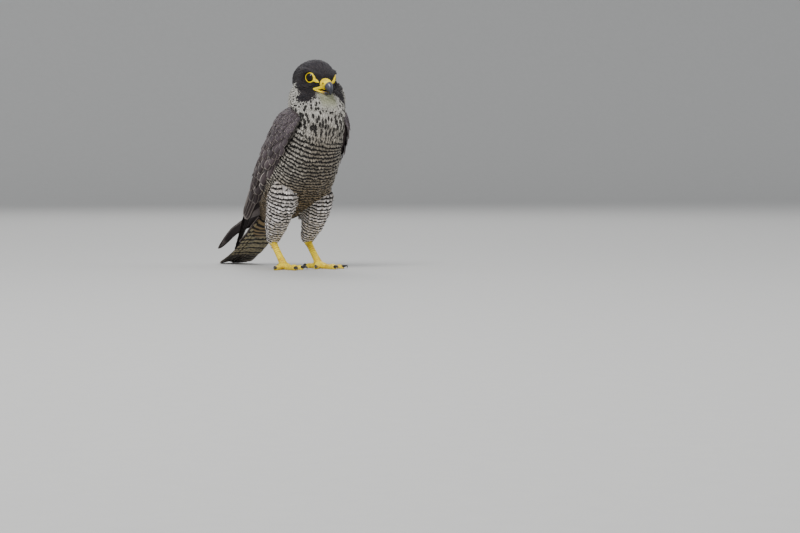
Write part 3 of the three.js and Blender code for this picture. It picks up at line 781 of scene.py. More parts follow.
class FalconStage(bpy.types.PropertyGroup):
    """Floor, light and camera"""

    distance: FloatProperty(
        name="Camera distance", description="From the bird to the camera", default=4.0, subtype="DISTANCE"
    )
    heading: FloatProperty(
        name="Camera heading",
        description="Round from straight ahead",
        default=math.radians(25),
        subtype="ANGLE",
    )
    frame_width: FloatProperty(
        name="Frame width", description="Width of the view at the bird", default=1.08, subtype="DISTANCE"
    )
    floor_colour: colour_choice("Floor", "Floor and backdrop", 0.46, 0.455, 0.44)


# The coat: what grows where
THIGH_TOP = 126
BREAST_BASE = 160  # height where the breast feathers give way to those of the belly
FEATHERS_BASE = 36  # no small feather has its root lower than this
HEEL_CLEARANCE = 6.5  # from the middle of a heel to the first feathers
STRIP_CLEARANCE = 0.4  # from the bare strips of the face to the first feathers
ROOT_DEPTH = 0.35  # how deep a feather's root lies in the skin
THIGH_MARKS = [0.84, 0.0, 0.0]
SKIN_VOXEL, SKIN_ROUNDS = 1.5, 5  # grain of the skin and how often it is smoothed


def head_share(points):
    """1 on the head, 0 below it, as the part divides them."""
    ahead, _, up = from_head(points)
    return smooth(0.18 * (ahead - 20) + 0.98 * (up + 18), -1.5, 1.5)


def from_bill(points):
    """Distance of points from the root of the bill."""
    return np.linalg.norm(points - on_head(23, 0, -5), axis=-1)


def feather_sizes(points):
    """Spacing, length and width of the feathers rooted at points."""
    gap = from_bill(points)
    gaps = [6, 14, 26, 45, 80, 130]
    spacing = np.interp(gap, gaps, [0.6, 0.7, 0.84, 1.15, 1.75, 2.2])
    length = np.interp(gap, gaps, [2.3, 3.2, 4.8, 7.0, 10.8, 14])
    width = np.interp(gap, gaps, [0.7, 0.9, 1.25, 2.1, 4.0, 5.6])
    return spacing, length, width


def coat_depth(points):
    """How deep the skin lies under the tips of the feathers."""
    return np.interp(from_bill(points), [8, 20, 50, 90], [0.5, 0.8, 1.3, 1.8])


def around_head(points):
    """Degrees round the head from straight ahead, the same on both sides."""
    ahead, left, _ = from_head(points)
    return np.degrees(np.arctan2(abs(left), ahead))


def cheek_fluff(points):
    """How far the loose feathers beside the neck stand out from the part's shape, in mm."""
    _, left, up = from_head(points)
    level = smooth(up, -54, -24) * (1 - smooth(up, -16, 6))
    first = np.where(left > 0, 52, 62)
    most = np.where(left > 0, 5.4, 4.4)
    turn = around_head(points)
    return most * level * smooth(turn, first, first + 26) * (1 - smooth(turn, 88, 150))


def helmet_share(points):
    """1 where the face and crown are slate: down to the moustache and behind the cheek."""
    _, left, up = from_head(points)
    turn = around_head(points)
    middle, half = np.where(left > 0, 46, 53), np.where(left > 0, 16, 23)
    moustache = 14.5 * np.exp(-(((turn - middle) / half) ** 4))
    mouth = mix(-14, -11, smooth(turn, 25, 38))
    low = mix(mouth, -6.5, smooth(turn, middle + 7, middle + 42)) - moustache
    return smooth(up - low, -1.2, 1.2)


# greenish chin colour, darker than the cream as painted shade under the bill
CHIN_TINT_AND_SHADE = np.array([0.36, 0.36, 0.24])
SLATE_GLOSS = np.array([0.018, 0.012, 0.008])


def plumage(points, normals, coat, rng):
    """Tint and Marks of the feathers rooted at points on the body."""
    slate, cream, belly, vent, mantle_tint = (
        np.array(tint) for tint in (coat.slate, coat.cream, coat.belly, coat.vent, coat.mantle)
    )
    height = height_of(points)
    aside = abs(points[:, 0] - 6)
    ahead, left, up = from_head(points)
    # where the helmet, the nape and the back lie
    helmet = helmet_share(points + rng.normal(0, 1.3, (len(points), 3)))
    backwards = normals[:, 1] + 0.35 * normals[:, 2]
    behind = smooth(points[:, 1] - at(0, 36, 0)[1], 0, 6) * smooth(height, 165, 180)
    mantle = np.maximum(smooth(backwards, 0.42, 0.6), behind) * (1 - smooth(height, 226, 240))
    nape = smooth(normals[:, 1], 0.72, 0.92) * smooth(height, 200, 215)
    dark = np.maximum(helmet, nape)
    # bars below, drops above
    side = smooth(aside, 18, 36)
    low = smooth(176 + 14 * side + 2 * rng.normal(size=len(points)) - height, -12, 12)
    # cream breast, darker belly, brown vent and a greenish chin; the dark of the belly and chin is partly
    # painted shade
    brown = smooth(118 - height, -22, 30)
    flank = smooth(aside, 12, 34) * (1 - brown)
    # painted shade: the ground darkens downward to the belly colour, which holds shade as well as the buff of
    # the feathers
    ground = mix(cream, belly, smooth(232 - height, 0, 75)[:, None])
    ground = mix(ground, cream, 0.4 * flank[:, None])
    ground = mix(ground, vent, 0.85 * brown[:, None])
    # the chin gets its greenish colour, darkened with painted shade under the bill
    chin = smooth(ahead, 8, 18) * (1 - smooth(up, -14, -6)) * smooth(up, -34, -20)
    chin = chin * (1 - smooth(abs(left), 8, 15))
    ground = mix(ground, CHIN_TINT_AND_SHADE, chin[:, None])
    ground = ground * (1 + 0.1 * rng.normal(size=(len(points), 1)))
    # painted sheen: the slate is made lighter up on the crown, and the gloss adds a brownish sheen to some
    # feathers at random
    gloss = SLATE_GLOSS * smooth(rng.random(len(points)), 0.4, 1)[:, None]
    slate = slate * (1 + 0.8 * smooth(up, 2, 18))[:, None] + gloss
    tint = mix(mix(ground, slate, dark[:, None]), mantle_tint, mantle[:, None])
    plain = (1 - dark) * (1 - mantle)
    size = 0.66 + 0.34 * smooth(236 - height, 0, 50) + 0.2 * side * (1 - smooth(height, 200, 225))
    throat = smooth(ahead, 2, 8) * (1 - smooth(abs(left), 9, 15)) * smooth(up, -36, -26)
    marks = stack(low * plain, (1 - low) * plain * size * (1 - throat), mantle * 0.3)
    return np.clip(tint, 0.005, 1), marks


class Ground:
    """The skin as triangles, for scattering roots and reading normals."""

    def __init__(self, mesh):
        mesh.calc_loop_triangles()
        corners = np.empty(len(mesh.loop_triangles) * 3, np.int32)
        mesh.loop_triangles.foreach_get("vertices", corners)
        self.corners = corners.reshape(-1, 3)
        self.points, self.normals = places_of(mesh), normals_of(mesh)
        tri = self.points[self.corners]
        self.areas = np.linalg.norm(np.cross(tri[:, 1] - tri[:, 0], tri[:, 2] - tri[:, 0]), axis=1) / 2

    def scatter(self, rng, density, allowed):
        """Roots spread evenly, no two nearer than the local spacing."""
        middles = self.points[self.corners].mean(1)
        weight = self.areas / feather_sizes(middles)[0] ** 2 * allowed(middles)
        tries = 6
        count = int(weight.sum() * tries * density)
        chosen = rng.choice(len(weight), count, p=weight / weight.sum())
        share = rng.random((count, 2))
        flip = share.sum(1) > 1
        share[flip] = 1 - share[flip]
        bary = np.stack([1 - share.sum(1), share[:, 0], share[:, 1]], -1)[..., None]
        points = (self.points[self.corners[chosen]] * bary).sum(1)
        normals = unit((self.normals[self.corners[chosen]] * bary).sum(1))
        apart = feather_sizes(points)[0] / math.sqrt(density)
        cell = float(apart.max())
        keys = np.floor(points / cell).astype(int)
        taken, kept = {}, []
        around = [(i, j, k) for i in (-1, 0, 1) for j in (-1, 0, 1) for k in (-1, 0, 1)]
        for index in range(count):
            x, y, z = keys[index]
            px, py, pz = points[index]
            near = (root for i, j, k in around for root in taken.get((x + i, y + j, z + k), ()))
            limit = apart[index] ** 2
            if all((px - qx) ** 2 + (py - qy) ** 2 + (pz - qz) ** 2 >= limit for qx, qy, qz in near):
                taken.setdefault((x, y, z), []).append((px, py, pz))
                kept.append(index)
        return points[kept], normals[kept]


def growth(points, normals, lines):
    """Direction in which the feathers at points lie: back over the head, then down the body."""
    ahead, left, up = from_head(points)
    over_crown = head_way(-1, 0, 0.15) + head_way(0, 0.25 * np.sign(left), 0)
    late = smooth(-ahead, -8, 26)[:, None]
    head_flow = unit(mix(over_crown, np.array([0.0, 0.1, -1.0]), late))
    chin = (smooth(-up, 9, 16) * smooth(ahead, -12, 4))[:, None]
    head_flow = unit(mix(head_flow, np.array([0.0, 0.35, -0.95]), chin))
    _, flow = lines["body"].lay(points)
    flow = mix(flow, head_flow, smooth(height_of(points), 212, 232)[:, None])
    for side, name in SIDES.items():
        on_thigh = thigh_share(points, side, lines)
        flow = mix(flow, lines[f"thigh_{name}"].lay(points)[1], on_thigh[:, None])
    return unit(flow - (flow * normals).sum(-1, keepdims=True) * normals)


def tip_heights(points, ways, lengths):
    """How far above the skin feathers laid flat from points would end."""
    tips = points + ways * lengths[:, None]
    heights = np.zeros(len(points))
    for k, tip in enumerate(tips):
        near, normal, _, _ = made["tree"].find_nearest(Vector(tip))
        heights[k] = (Vector(tip) - near).dot(normal)
    return heights


def thigh_share(points, side, lines):
    """1 on a thigh, 0 on the rest of the body."""
    thigh, body = lines[f"thigh_{SIDES[side]}"], lines["body"]
    i, j = thigh.nearest(points), body.nearest(points)
    gap = np.linalg.norm(points - thigh.places[i], axis=-1) - thigh.rows[i, 3:].max(-1)
    from_body = np.linalg.norm(points - body.places[j], axis=-1) / body.rows[j, 3]
    share = (1 - smooth(gap, 0.5, 3)) * smooth(from_body, 0.88, 1.0)
    return share * (height_of(points) < THIGH_TOP)


def euler_of(across, along, out):
    """Rotation of a feather whose width, length and outer face point these ways."""
    return stack(
        np.arctan2(along[:, 2], out[:, 2]),
        np.arcsin(np.clip(-across[:, 2], -1, 1)),
        np.arctan2(across[:, 1], across[:, 0]),
    )


def tilted(normals, way, lift):
    """Frames of feathers that lie along way and rise from the surface by an angle."""
    along = unit(way * np.cos(lift)[:, None] + normals * np.sin(lift)[:, None])
    across = unit(np.cross(along, normals))
    return across, along, np.cross(across, along)


# The kinds of small feather: (distance from the root, half width) pairs for a length of 1,
# then half the thickness, how far the tip bends down and how far the edges do
TEMPLATES = {
    "tuft": ([(0.25, 0.34), (0.7, 0.5)], 0.02, 0.10, 0.02),
    "contour": ([(0.2, 0.34), (0.5, 0.48), (0.78, 0.5), (0.94, 0.28)], 0.012, 0.10, 0.02),
    "covert": ([(0.15, 0.38), (0.45, 0.5), (0.7, 0.5), (0.86, 0.42), (0.96, 0.24)], 0.014, 0.06, 0.02),
}


def vane_template(kind):
    """One feather of length 1: root at the origin, tip at y 1, outer face up."""
    rows, thick, bend, curl = TEMPLATES[kind]
    points, vanes, faces = [(0, 0, 0)], [(0, 0, 0)], []
    for y, w in rows:
        z = -bend * y * y
        points += [(-w, y, z - curl), (0, y, z + thick), (w, y, z - curl), (0, y, z - thick)]
        vanes += [(-1, y, 0), (0, y, 0), (1, y, 0), (0, y, 0)]
    tip = len(points)
    points.append((0, 1, -bend))
    vanes.append((0, 1, 0))
    for first in range(1, tip - 4, 4):
        for k in range(4):
            a, b = first + k, first + (k + 1) % 4
            faces.append((a, a + 4, b + 4, b))
    last = tip - 4
    for k in range(4):
        faces.append((0, 1 + k, 1 + (k + 1) % 4))
        faces.append((tip, last + (k + 1) % 4, last + k))
    mesh = bpy.data.meshes.new(f"one_{kind}")
    mesh.from_pydata(points, [], faces)
    set_layer(mesh, "Vane", vanes)
    face_outward(mesh)
    mesh.shade_smooth()
    return link(f"one_{kind}", mesh)


def planting_tree():
    """Geometry nodes that set one feather on each point, turned and sized by its layers."""
    tree = bpy.data.node_groups.new("Plant_feathers", "GeometryNodeTree")
    face = tree.interface
    sockets = {"Roots": face.new_socket("Roots", in_out="INPUT", socket_type="NodeSocketGeometry")}
    for name, kind in (
        ("Feather", "NodeSocketObject"),
        ("Finish", "NodeSocketMaterial"),
        ("Length", "NodeSocketFloat"),
        ("Ruffle", "NodeSocketFloat"),
        ("Seed", "NodeSocketInt"),
    ):
        sockets[name] = face.new_socket(name, in_out="INPUT", socket_type=kind)
    face.new_socket("Feathers", in_out="OUTPUT", socket_type="NodeSocketGeometry")

    def node(kind, links=(), **settings):
        added = tree.nodes.new(kind)
        for key, value in settings.items():
            setattr(added, key, value)
        for key, value in dict(links).items():
            tree.links.new(value, added.inputs[key])
        return added

    def layer(name):
        read = node("GeometryNodeInputNamedAttribute", data_type="FLOAT_VECTOR")
        read.inputs["Name"].default_value = name
        return read.outputs[0]

    start = node("NodeGroupInput").outputs
    info = node("GeometryNodeObjectInfo", {"Object": start["Feather"]})
    less = node("ShaderNodeMath", {0: start["Ruffle"]}, operation="MULTIPLY")
    less.inputs[1].default_value = -1.0
    random = node(
        "FunctionNodeRandomValue", {0: less.outputs[0], 1: start["Ruffle"], "Seed": start["Seed"]},
        data_type="FLOAT_VECTOR",
    )
    laid = node("FunctionNodeEulerToRotation", {0: layer("Turn")})
    ruffled = node("FunctionNodeEulerToRotation", {0: random.outputs[0]})
    both = {0: laid.outputs[0], 1: ruffled.outputs[0]}
    whole = node("FunctionNodeRotateRotation", both, rotation_space="LOCAL")
    scaled = node("ShaderNodeVectorMath", {0: layer("Size"), "Scale": start["Length"]}, operation="SCALE")
    planted = node(
        "GeometryNodeInstanceOnPoints",
        {
            "Points": start["Roots"],
            "Instance": info.outputs["Geometry"],
            "Rotation": whole.outputs[0],
            "Scale": scaled.outputs[0],
        },
    )
    real = node("GeometryNodeRealizeInstances", {0: planted.outputs[0]})
    painted = node("GeometryNodeSetMaterial", {"Geometry": real.outputs[0], "Material": start["Finish"]})
    node("NodeGroupOutput", {0: painted.outputs[0]})
    return tree, sockets


def plant(name, template, coat, roots, turn, size, tint, marks, bake, lay=None):
    """Feathers of one kind on roots; lay gives the place on the bird of each of their points."""
    if "planting" not in made:
        made["planting"], made["sockets"] = planting_tree()
        made["plumage"] = plumage_material(coat)
        made["templates"] = {kind: vane_template(kind) for kind in TEMPLATES}
    mesh = bpy.data.meshes.new(name)
    mesh.from_pydata((roots * MM).tolist(), [], [])
    chance = np.random.default_rng(coat.seed + len(roots)).random(len(roots))
    layers = {"Turn": turn, "Size": size * MM, "Tint": tint, "Marks": marks, "Root": bake}
    for layer, values in layers.items():
        set_layer(mesh, layer, values)
    set_layer(mesh, "Chance", stack(chance, 0, 0))
    piece = link(name, mesh)
    modifier = piece.modifiers.new("Plant", "NODES")
    modifier.node_group = made["planting"]
    values = {
        "Feather": made["templates"][template],
        "Finish": made["plumage"],
        "Length": coat.length,
        "Ruffle": coat.ruffle,
        "Seed": coat.seed,
    }
    for socket, value in values.items():
        modifier[made["sockets"][socket].identifier] = value
    feathers = evaluated(piece)
    piece.modifiers.remove(modifier)
    piece.data = feathers
    vane = layer_of(feathers, "Vane").copy()
    vane[:, 2] = layer_of(feathers, "Chance")[:, 0]
    set_layer(feathers, "Vane", vane)
    points = places_of(feathers)
    set_layer(feathers, "Lay", lay(points) if lay else points)
    set_bake_map(feathers)
    for layer in ("Turn", "Size", "Chance"):
        if layer in feathers.attributes:
            feathers.attributes.remove(feathers.attributes[layer])
    feathers.shade_smooth()
    return piece


def remove_templates():
    for template in made["templates"].values():
        bpy.data.objects.remove(template)


def clear_of_eyes(points):
    """points of the skin, pressed back where they would cover the ring round an eye."""
    for side in SIDES:
        middle, way = eye_axis(side)
        gap = points - middle
        high = gap @ way
        flat = gap - high[:, None] * way
        r = np.linalg.norm(flat, axis=-1)
        above = smooth(flat[:, 2] / np.maximum(r, 0.1), 0.3, 0.8)
        edge = np.sqrt(EYE_RADIUS**2 - np.minimum(r, RING_REACH) ** 2) - EYE_SINK - 0.5
        most = edge + above * 0.5 + mix(1.0, 2.2, above) * np.maximum(r - RING_REACH, 0)
        near = (r < EYE_REACH) & (high > 0)
        points = points - (np.maximum(high - most, 0) * near)[:, None] * way
    return points


class FALCON_OT_skin(bpy.types.Operator):
    """One skin under the feathers of the head, neck, body and thighs"""

    bl_idname = "falcon.skin"
    bl_label = "Skin"

    def execute(self, context):
        nodes = ["head", "neck", "torso", "thigh_left", "thigh_right"]
        even = self.joined(nodes)
        points = places_of(even)
        rise = cheek_fluff(points) - coat_depth(points)
        points = clear_of_eyes(points + normals_of(even) * rise[:, None])
        move_points(even, points)
        lines = made["lines"] = {"body": LineOfMiddles(BODY)}
        for side, name in SIDES.items():
            lines[f"thigh_{name}"] = LineOfMiddles([on_leg(side, row) for row in THIGH])
        ground = made["ground"] = Ground(even)
        made["tree"] = BVHTree.FromPolygons([Vector(p) for p in ground.points], ground.corners.tolist())
        set_layer(even, "Tint", self.tint(points, ground.normals, lines, context.scene.falcon_coat))
        even.materials.clear()
        even.materials.append(down_material())
        even.shade_smooth()
        skin = link("skin", even)
        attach(skin, "root")
        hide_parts(*nodes)
        return {"FINISHED"}

    def joined(self, nodes):
        """One even mesh of the nodes and what fills the gaps between them."""
        whole = bmesh.new()
        for node in nodes:
            whole.from_mesh(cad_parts[node].data)
        bmesh.ops.remove_doubles(whole, verts=whole.verts, dist=1e-6)
        fillers = self.fillers()
        whole.from_mesh(fillers.data)
        bpy.data.objects.remove(fillers)
        mesh = bpy.data.meshes.new("skin")
        whole.to_mesh(mesh)
        whole.free()
        return melted(link("skin_rough", mesh), SKIN_VOXEL, SKIN_ROUNDS)

    def tint(self, points, normals, lines, coat):
        """Colour of the down: that of the feathers above it, darker on the thighs, with painted shade in the
        creases.
        """
        tint, _ = plumage(points, normals, coat, np.random.default_rng(coat.seed))
        for side in SIDES:
            thigh = thigh_share(points, side, lines)
            tint = mix(tint, 0.6 * np.array(coat.thigh), thigh[:, None])
        # painted shade in the creases between the thighs: the skin is made darker and warmer there; the right
        # one, last in the loop, keeps its colour
        low = smooth(132 - points[:, 2], 0, 8) * smooth(points[:, 2], 60, 76)
        return mix(tint, 0.7 * np.array(coat.belly), 0.6 * (low * (1 - thigh))[:, None])

    def fillers(self):
        """What fills the eye sockets and the root of the bill, and raises the brows."""
        shape = Shape()
        for side in SIDES:
            shape.add_ball(eye_axis(side)[0], EYE_RADIUS - 0.3, 24, 32)
            rows, middles = on_face(BROW, side, 16)
            shape.add_rings(ring_of(middles, head_way(0, 1, 0), head_way(0, 0, 1), rows[:, 3:5] + 0.9, 16))
        for table, most, rows, grow in ((BILL, 0.55, 20, -0.5), (LOWER_BILL, 0.7, 16, -0.4)):
            ahead, left, up, _ = bill_rings(table, np.linspace(0, most, rows), 32, grow)
            shape.add_rings(on_head(ahead, left, up))
        return shape.build("fillers", bpy.data.materials.new("none"))


def under_wing(points):
    """True where a folded wing covers the body: close below its shield and within its edges."""
    covered = np.zeros(len(points), bool)
    s, t = np.meshgrid(np.linspace(0.02, 0.9, 56), np.linspace(0.03, 0.97, 22), indexing="ij")
    for side in SIDES:
        places, _, _, normals = wing_frame(side, s.ravel(), t.ravel())
        for part in batches(points, 8000):
            nearest = ((points[part, None] - places) ** 2).sum(-1).argmin(1)
            gap = points[part] - places[nearest]
            high = (gap * normals[nearest]).sum(-1)
            aside = np.linalg.norm(gap - high[:, None] * normals[nearest], axis=-1)
            covered[part] |= (high < 1.5) & (high > -22) & (aside < 3.2)
    return covered


def takes_root(points):
    """True where small feathers grow: not on the bare parts, the legs or under a wing."""
    height = height_of(points)
    ahead, left, up = from_head(points)
    under_bill = (ahead > 21) & (abs(left) < 8) & (up < 3.5) & (up > -15)
    under_tail = (points[:, 1] > at(0, -66, 0)[1]) & (height < 76)
    keep = ~under_bill & ~under_tail & (height > FEATHERS_BASE)
    for side in SIDES:
        middle, way = eye_axis(side)
        gap = points - middle
        high = gap @ way
        from_axis = np.sqrt(np.maximum((gap**2).sum(-1) - high**2, 0))
        keep &= ~((from_axis < RING_REACH - 0.2) & (high > 0))
        for table in (LORE_PATCH, UPPER_LIP, LOWER_LIP):
            rows, middles = on_face(table, side, 12)
            apart = np.linalg.norm(points[:, None] - middles, axis=-1) - rows[:, 3]
            keep &= apart.min(1) > STRIP_CLEARANCE
        keep &= from_heel(points, side) > HEEL_CLEARANCE
    return keep & ~under_wing(points)


def from_heel(points, side):
    """Distance of points from a heel."""
    return np.linalg.norm(points - at(*on_leg(side, HEEL)), axis=-1)


class FALCON_OT_coat(bpy.types.Operator):
    """Small feathers of the head, neck, body and thighs"""

    bl_idname = "falcon.coat"
    bl_label = "Body feathers"

    def execute(self, context):
        coat = context.scene.falcon_coat
        lines = made["lines"]
        rng = np.random.default_rng(coat.seed + 1)
        roots, normals = made["ground"].scatter(rng, coat.density, takes_root)
        turn, size = self.laid(roots, normals, growth(roots, normals, lines), rng)
        tint, marks = plumage(roots, normals, coat, rng)
        bake = self.bake_places(roots, lines["body"])
        roots = roots - normals * ROOT_DEPTH
        head = head_share(roots) > 0.5
        thighs = {side: thigh_share(roots, side, lines) > 0.5 for side in SIDES}
        body = ~head & ~thighs[1] & ~thighs[-1]
        high = height_of(roots) > BREAST_BASE
        groups = {
            "head_feathers": ("tuft", head, "body"),
            "breast_feathers": ("contour", body & high, "body"),
            "belly_feathers": ("contour", body & ~high, "body"),
            "thigh_feathers_left": ("contour", thighs[1], "thigh_left"),
            "thigh_feathers_right": ("contour", thighs[-1], "thigh_right"),
        }
        for name, (template, chosen, line) in groups.items():
            if not chosen.any():
                raise RuntimeError(f"no roots for {name}")
            tints = tint[chosen]
            if line != "body":
                tints = self.thigh_tint(roots[chosen], coat, rng)
                marks[chosen] = THIGH_MARKS
            piece = plant(
                name, template, coat, roots[chosen], turn[chosen], size[chosen], tints, marks[chosen],
                bake[chosen], lambda points, line=line: lines[line].lay(points)[0],
            )
            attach(piece, "root")
        return {"FINISHED"}

    def laid(self, roots, normals, way, rng):
        """Turn and size of the feathers; those above a crease lie over what swells out below it."""
        _, length, width = feather_sizes(roots)
        length = length * rng.uniform(0.88, 1.12, len(roots))
        for side in SIDES:
            length = length * mix(0.45, 1, smooth(from_heel(roots, side), 7, 36))
        depth = coat_depth(roots)
        sunk = np.maximum(-tip_heights(roots, way, 0.8 * length) - 0.3, 0)
        length = length * (1 + np.minimum(sunk / 6, 0.5))
        lift = np.arctan2(depth + mix(0.7, 0.1, head_share(roots)) + 1.35 * sunk, length)
        return euler_of(*tilted(normals, way, lift)), stack(width, length, length)

    def bake_places(self, roots, line):
        """Places on the bake map: round the body, and from the crown down to the vent."""
        half_round = 30 * 2 * math.pi / 1.6
        lay, _ = line.lay(roots)
        across, down = lay[:, 0] / half_round, lay[:, 1] / line.along[-1]
        return np.clip(stack(0.5 + 0.45 * across, 0.02 + 0.94 * down, 0), 0.003, 0.993)

    def thigh_tint(self, roots, coat, rng):
        """Pale thighs, darker towards the belly."""
        high_up = smooth(height_of(roots), 90, 122)[:, None]
        tints = mix(np.array(coat.thigh), 1.3 * np.array(coat.belly), 0.75 * high_up)
        return tints * (1 + 0.06 * rng.normal(size=(len(tints), 1)))


# Long feathers
WING_VANE, TAIL_VANE = 0.6, 0.55  # thickness of their vanes


def long_vane(shape, places, across, normals, widths, length, thick, shaft, chance, **layers):
    """Closed vane through places, with a raised shaft and thin edges."""
    columns = np.array([-1, -0.6, shaft, 0.1, 0.6, 1])
    rise = np.array([0, 0.7, 1.5, 0.8, 0.6, 0]) * thick / 2
    sink = np.array([0, 0.6, 0.9, 0.7, 0.6, 0]) * thick / 2
    camber = -0.05 * columns**2
    upper = stack(columns, rise, camber)
    lower = stack(columns, -sink, camber)[-2:0:-1]
    aside, lift, bend = np.concatenate([upper, lower]).T
    aside_mm = aside * widths[:, None]
    lift = lift + bend * widths[:, None]
    rings = places[:, None] + across[:, None] * aside_mm[..., None] + normals[:, None] * lift[..., None]
    share = np.linspace(0, 1, len(places))[:, None]
    shape.add_rings(rings, Vane=stack(aside, share, chance), Lay=stack(aside_mm, share * length, 0), **layers)


def round_tip(v, start, power=2.2):
    """Half width of a feather as a share of its widest, rounded off from start to its tip."""
    x = np.clip((v - start) / (1 - start), 0, 1)
    return np.clip(1 - x**power, 0.02, 1) ** 0.5


def wing_vane(shape, side, root, tip, height, wide, tint, marks, chance, rows=14, point=0.72):
    """Vane lying on a wing from (s, t) at its root to (s, t) at its tip."""
    v = np.linspace(0, 1, rows) ** 0.9
    s, t = mix(root[0], tip[0], v), mix(root[1], tip[1], v)
    places, _, across, normals = wing_frame(side, s, t)
    places = places + normals * mix(height[0], height[1], v)[:, None]
    widths = wide * mix(0.75, 1, smooth(v, 0, 0.5)) * round_tip(v, point)
    length = np.linalg.norm(places[-1] - places[0])
    bake = (0.05 + 0.9 * root[0], 0.05 + 0.9 * root[1], 0)
    long_vane(
        shape, places, across * side, normals, widths, length, WING_VANE, 0.25 * -side, chance,
        Tint=tint, Marks=marks, Root=bake,
    )


# Layers of what lies hidden under the long feathers, with no feather of its own
HIDDEN = {"Vane": (0, 0.5, 0.4), "Root": (0.5, 0.01, 0)}


def wing_flesh(shape, side, tint):
    """Arm and hand inside the wing's feathers."""
    steps, across = 24, 12
    steps_along = mix(0.004, WING_CORE_END, np.linspace(0, 1, steps) ** 1.2)
    deep = mix(15, 7, smooth(steps_along, 0.25, WING_CORE_END)) - 0.6
    rows = []
    for i, s in enumerate(steps_along):
        margin, pinch = (0.26, 3.2) if i == 0 else (0.05, 0)
        t = np.linspace(margin, 1 - margin, across)
        places, _, _, normals = wing_frame(side, np.full(across, s), t)
        sunk = 1.6 + pinch + 2.4 * abs(2 * t - 1) ** 3
        top = places - normals * sunk[:, None]
        under = (places - normals * (deep[i] - pinch))[::-1]
        rows.append(np.concatenate([top, under]))
    shape.add_rings(np.array(rows), Tint=tint, Marks=(0, 0, 0), Lay=(0, 0, 0), **HIDDEN)


# Roots and tips of the tertials, and how far out the tips of the primaries reach, as (s, t) and s
TERTIALS = [((0.36, 0.9), (0.6, 0.84)), ((0.42, 0.88), (0.68, 0.82)), ((0.48, 0.85), (0.75, 0.79))]
PRIMARY_TIPS = [0.965, 1, 0.97, 0.92, 0.87, 0.82, 0.77]


class FALCON_OT_wings(bpy.types.Operator):
    """Wing coverts and long wing feathers"""

    bl_idname = "falcon.wings"
    bl_label = "Wings"

    def execute(self, context):
        coat = context.scene.falcon_coat
        mantle = np.array(coat.mantle)
        for side, name in SIDES.items():
            rng = np.random.default_rng(coat.seed + 10 + side)
            shape = Shape()
            wing_flesh(shape, side, mantle * 0.7)
            # secondaries, from under the coverts out to the tertials
            for k in range(9):
                share = k / 8
                t = mix(0.17, 0.84, share)
                high = 0.1 + 0.32 * k * (1 - 0.5 * share)
                wing_vane(
                    shape, side, (0.34, t), (mix(0.60, 0.57, share), t), (high - 3.2, high), 8.0,
                    mantle * rng.uniform(0.85, 1.1), (0, 0, 0.75), rng.random(), point=0.8,
                )
            for k, (root, tip) in enumerate(TERTIALS):
                high = 2.6 - k * 1.1
                wing_vane(
                    shape, side, root, tip, (high - 3.0, high), 9.5,
                    mantle * rng.uniform(0.9, 1.1), (0, 0, 0.7), rng.random(),
                )
            last = len(PRIMARY_TIPS) - 1
            for k, reach in enumerate(PRIMARY_TIPS):
                share = k / last
                low = -1.2 - (last - k) * 0.9
                root, tip = (WING_CORE_END - 0.08, mix(0.16, 0.7, share)), (reach, mix(0.42, 0.62, share))
                wing_vane(
                    shape, side, root, tip, (low, low), mix(6.4, 8.2, share),
                    mantle * mix(0.28, 0.55, share), (0, 0, 0.12), rng.random(), rows=22, point=0.45,
                )
            piece = shape.build(f"wing_quills_{name}", made["plumage"])
            set_bake_map(piece.data)
            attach(piece, "root")
            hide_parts(f"wing_{name}")
            self.coverts(coat, side, name, rng)
        return {"FINISHED"}

    def coverts(self, coat, side, name, rng):
        """Rows of coverts that grow longer from the bend of the wing to its middle."""
        columns = []
        s, row = 0.012, 0
        while s < 0.43:
            grown = smooth(s, 0.0, 0.4)
            length, width, step = mix(8, 27, grown), mix(5.2, 13.5, grown), mix(0.013, 0.036, grown)
            span = np.linalg.norm(wing_point(side, s, 0.93) - wing_point(side, s, 0.06))
            count = max(int(span / (width * 0.5)), 6)
            t = np.linspace(0.04, 0.95, count) + (row % 2) * 0.45 / count
            t = np.clip(t + rng.normal(0, 0.006, count), 0.02, 0.97)
            place, along, across, normal = wing_frame(side, np.full(count, s), t)
            way = unit(along + across * rng.normal(0, 0.05, count)[:, None])
            scale = rng.uniform(0.93, 1.07, count)
            lift = stack(np.full(count, math.atan2(mix(1.1, 2.5, grown), length)))
            size = stack(width * scale, length * scale, length)
            bake = stack(np.full(count, 0.05 + 0.9 * s), 0.05 + 0.9 * t, 0)
            columns.append((place - normal * mix(0.7, 1.3, grown), way, size, normal, bake, lift))
            s += step
            row += 1
        roots, ways, sizes, normals, bake, lifts = (np.concatenate(column) for column in zip(*columns))
        turn = euler_of(*tilted(normals, ways, lifts[:, 0]))
        sheen = (1 - smooth(bake[:, 0], 0.1, 0.35))[:, None] * np.array([0.010, 0.012, 0.018])
        shade = rng.uniform(0.75, 1.3, len(roots)) * mix(1.1, 0.8, smooth(bake[:, 0], 0.2, 0.45))
        tint = (np.array(coat.mantle) + sheen) * shade[:, None]
        marks = stack(0, 0, mix(0.8, 1.0, smooth(bake[:, 0], 0.08, 0.25)))
        piece = plant(f"wing_coverts_{name}", "covert", coat, roots, turn, sizes, tint, marks, bake)
        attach(piece, "root")


TAIL_ROOT = (-66, 73.5)  # ahead and up
TAIL_PITCH = (38.4, 12)  # degrees down from level, at the root and at the tip
TAIL_DROOP = 0.16
TAIL_LAYERS = [(0, 1), (2, 3), (4, 4), (5, 5), (6, 6), (7, 7)]  # left and right of each pair
LAYER = 0.95  # from one layer to the next
TAIL_BROWN = np.array([0.16, 0.135, 0.10])
UNDER_TAIL = np.array([0.33, 0.28, 0.17])


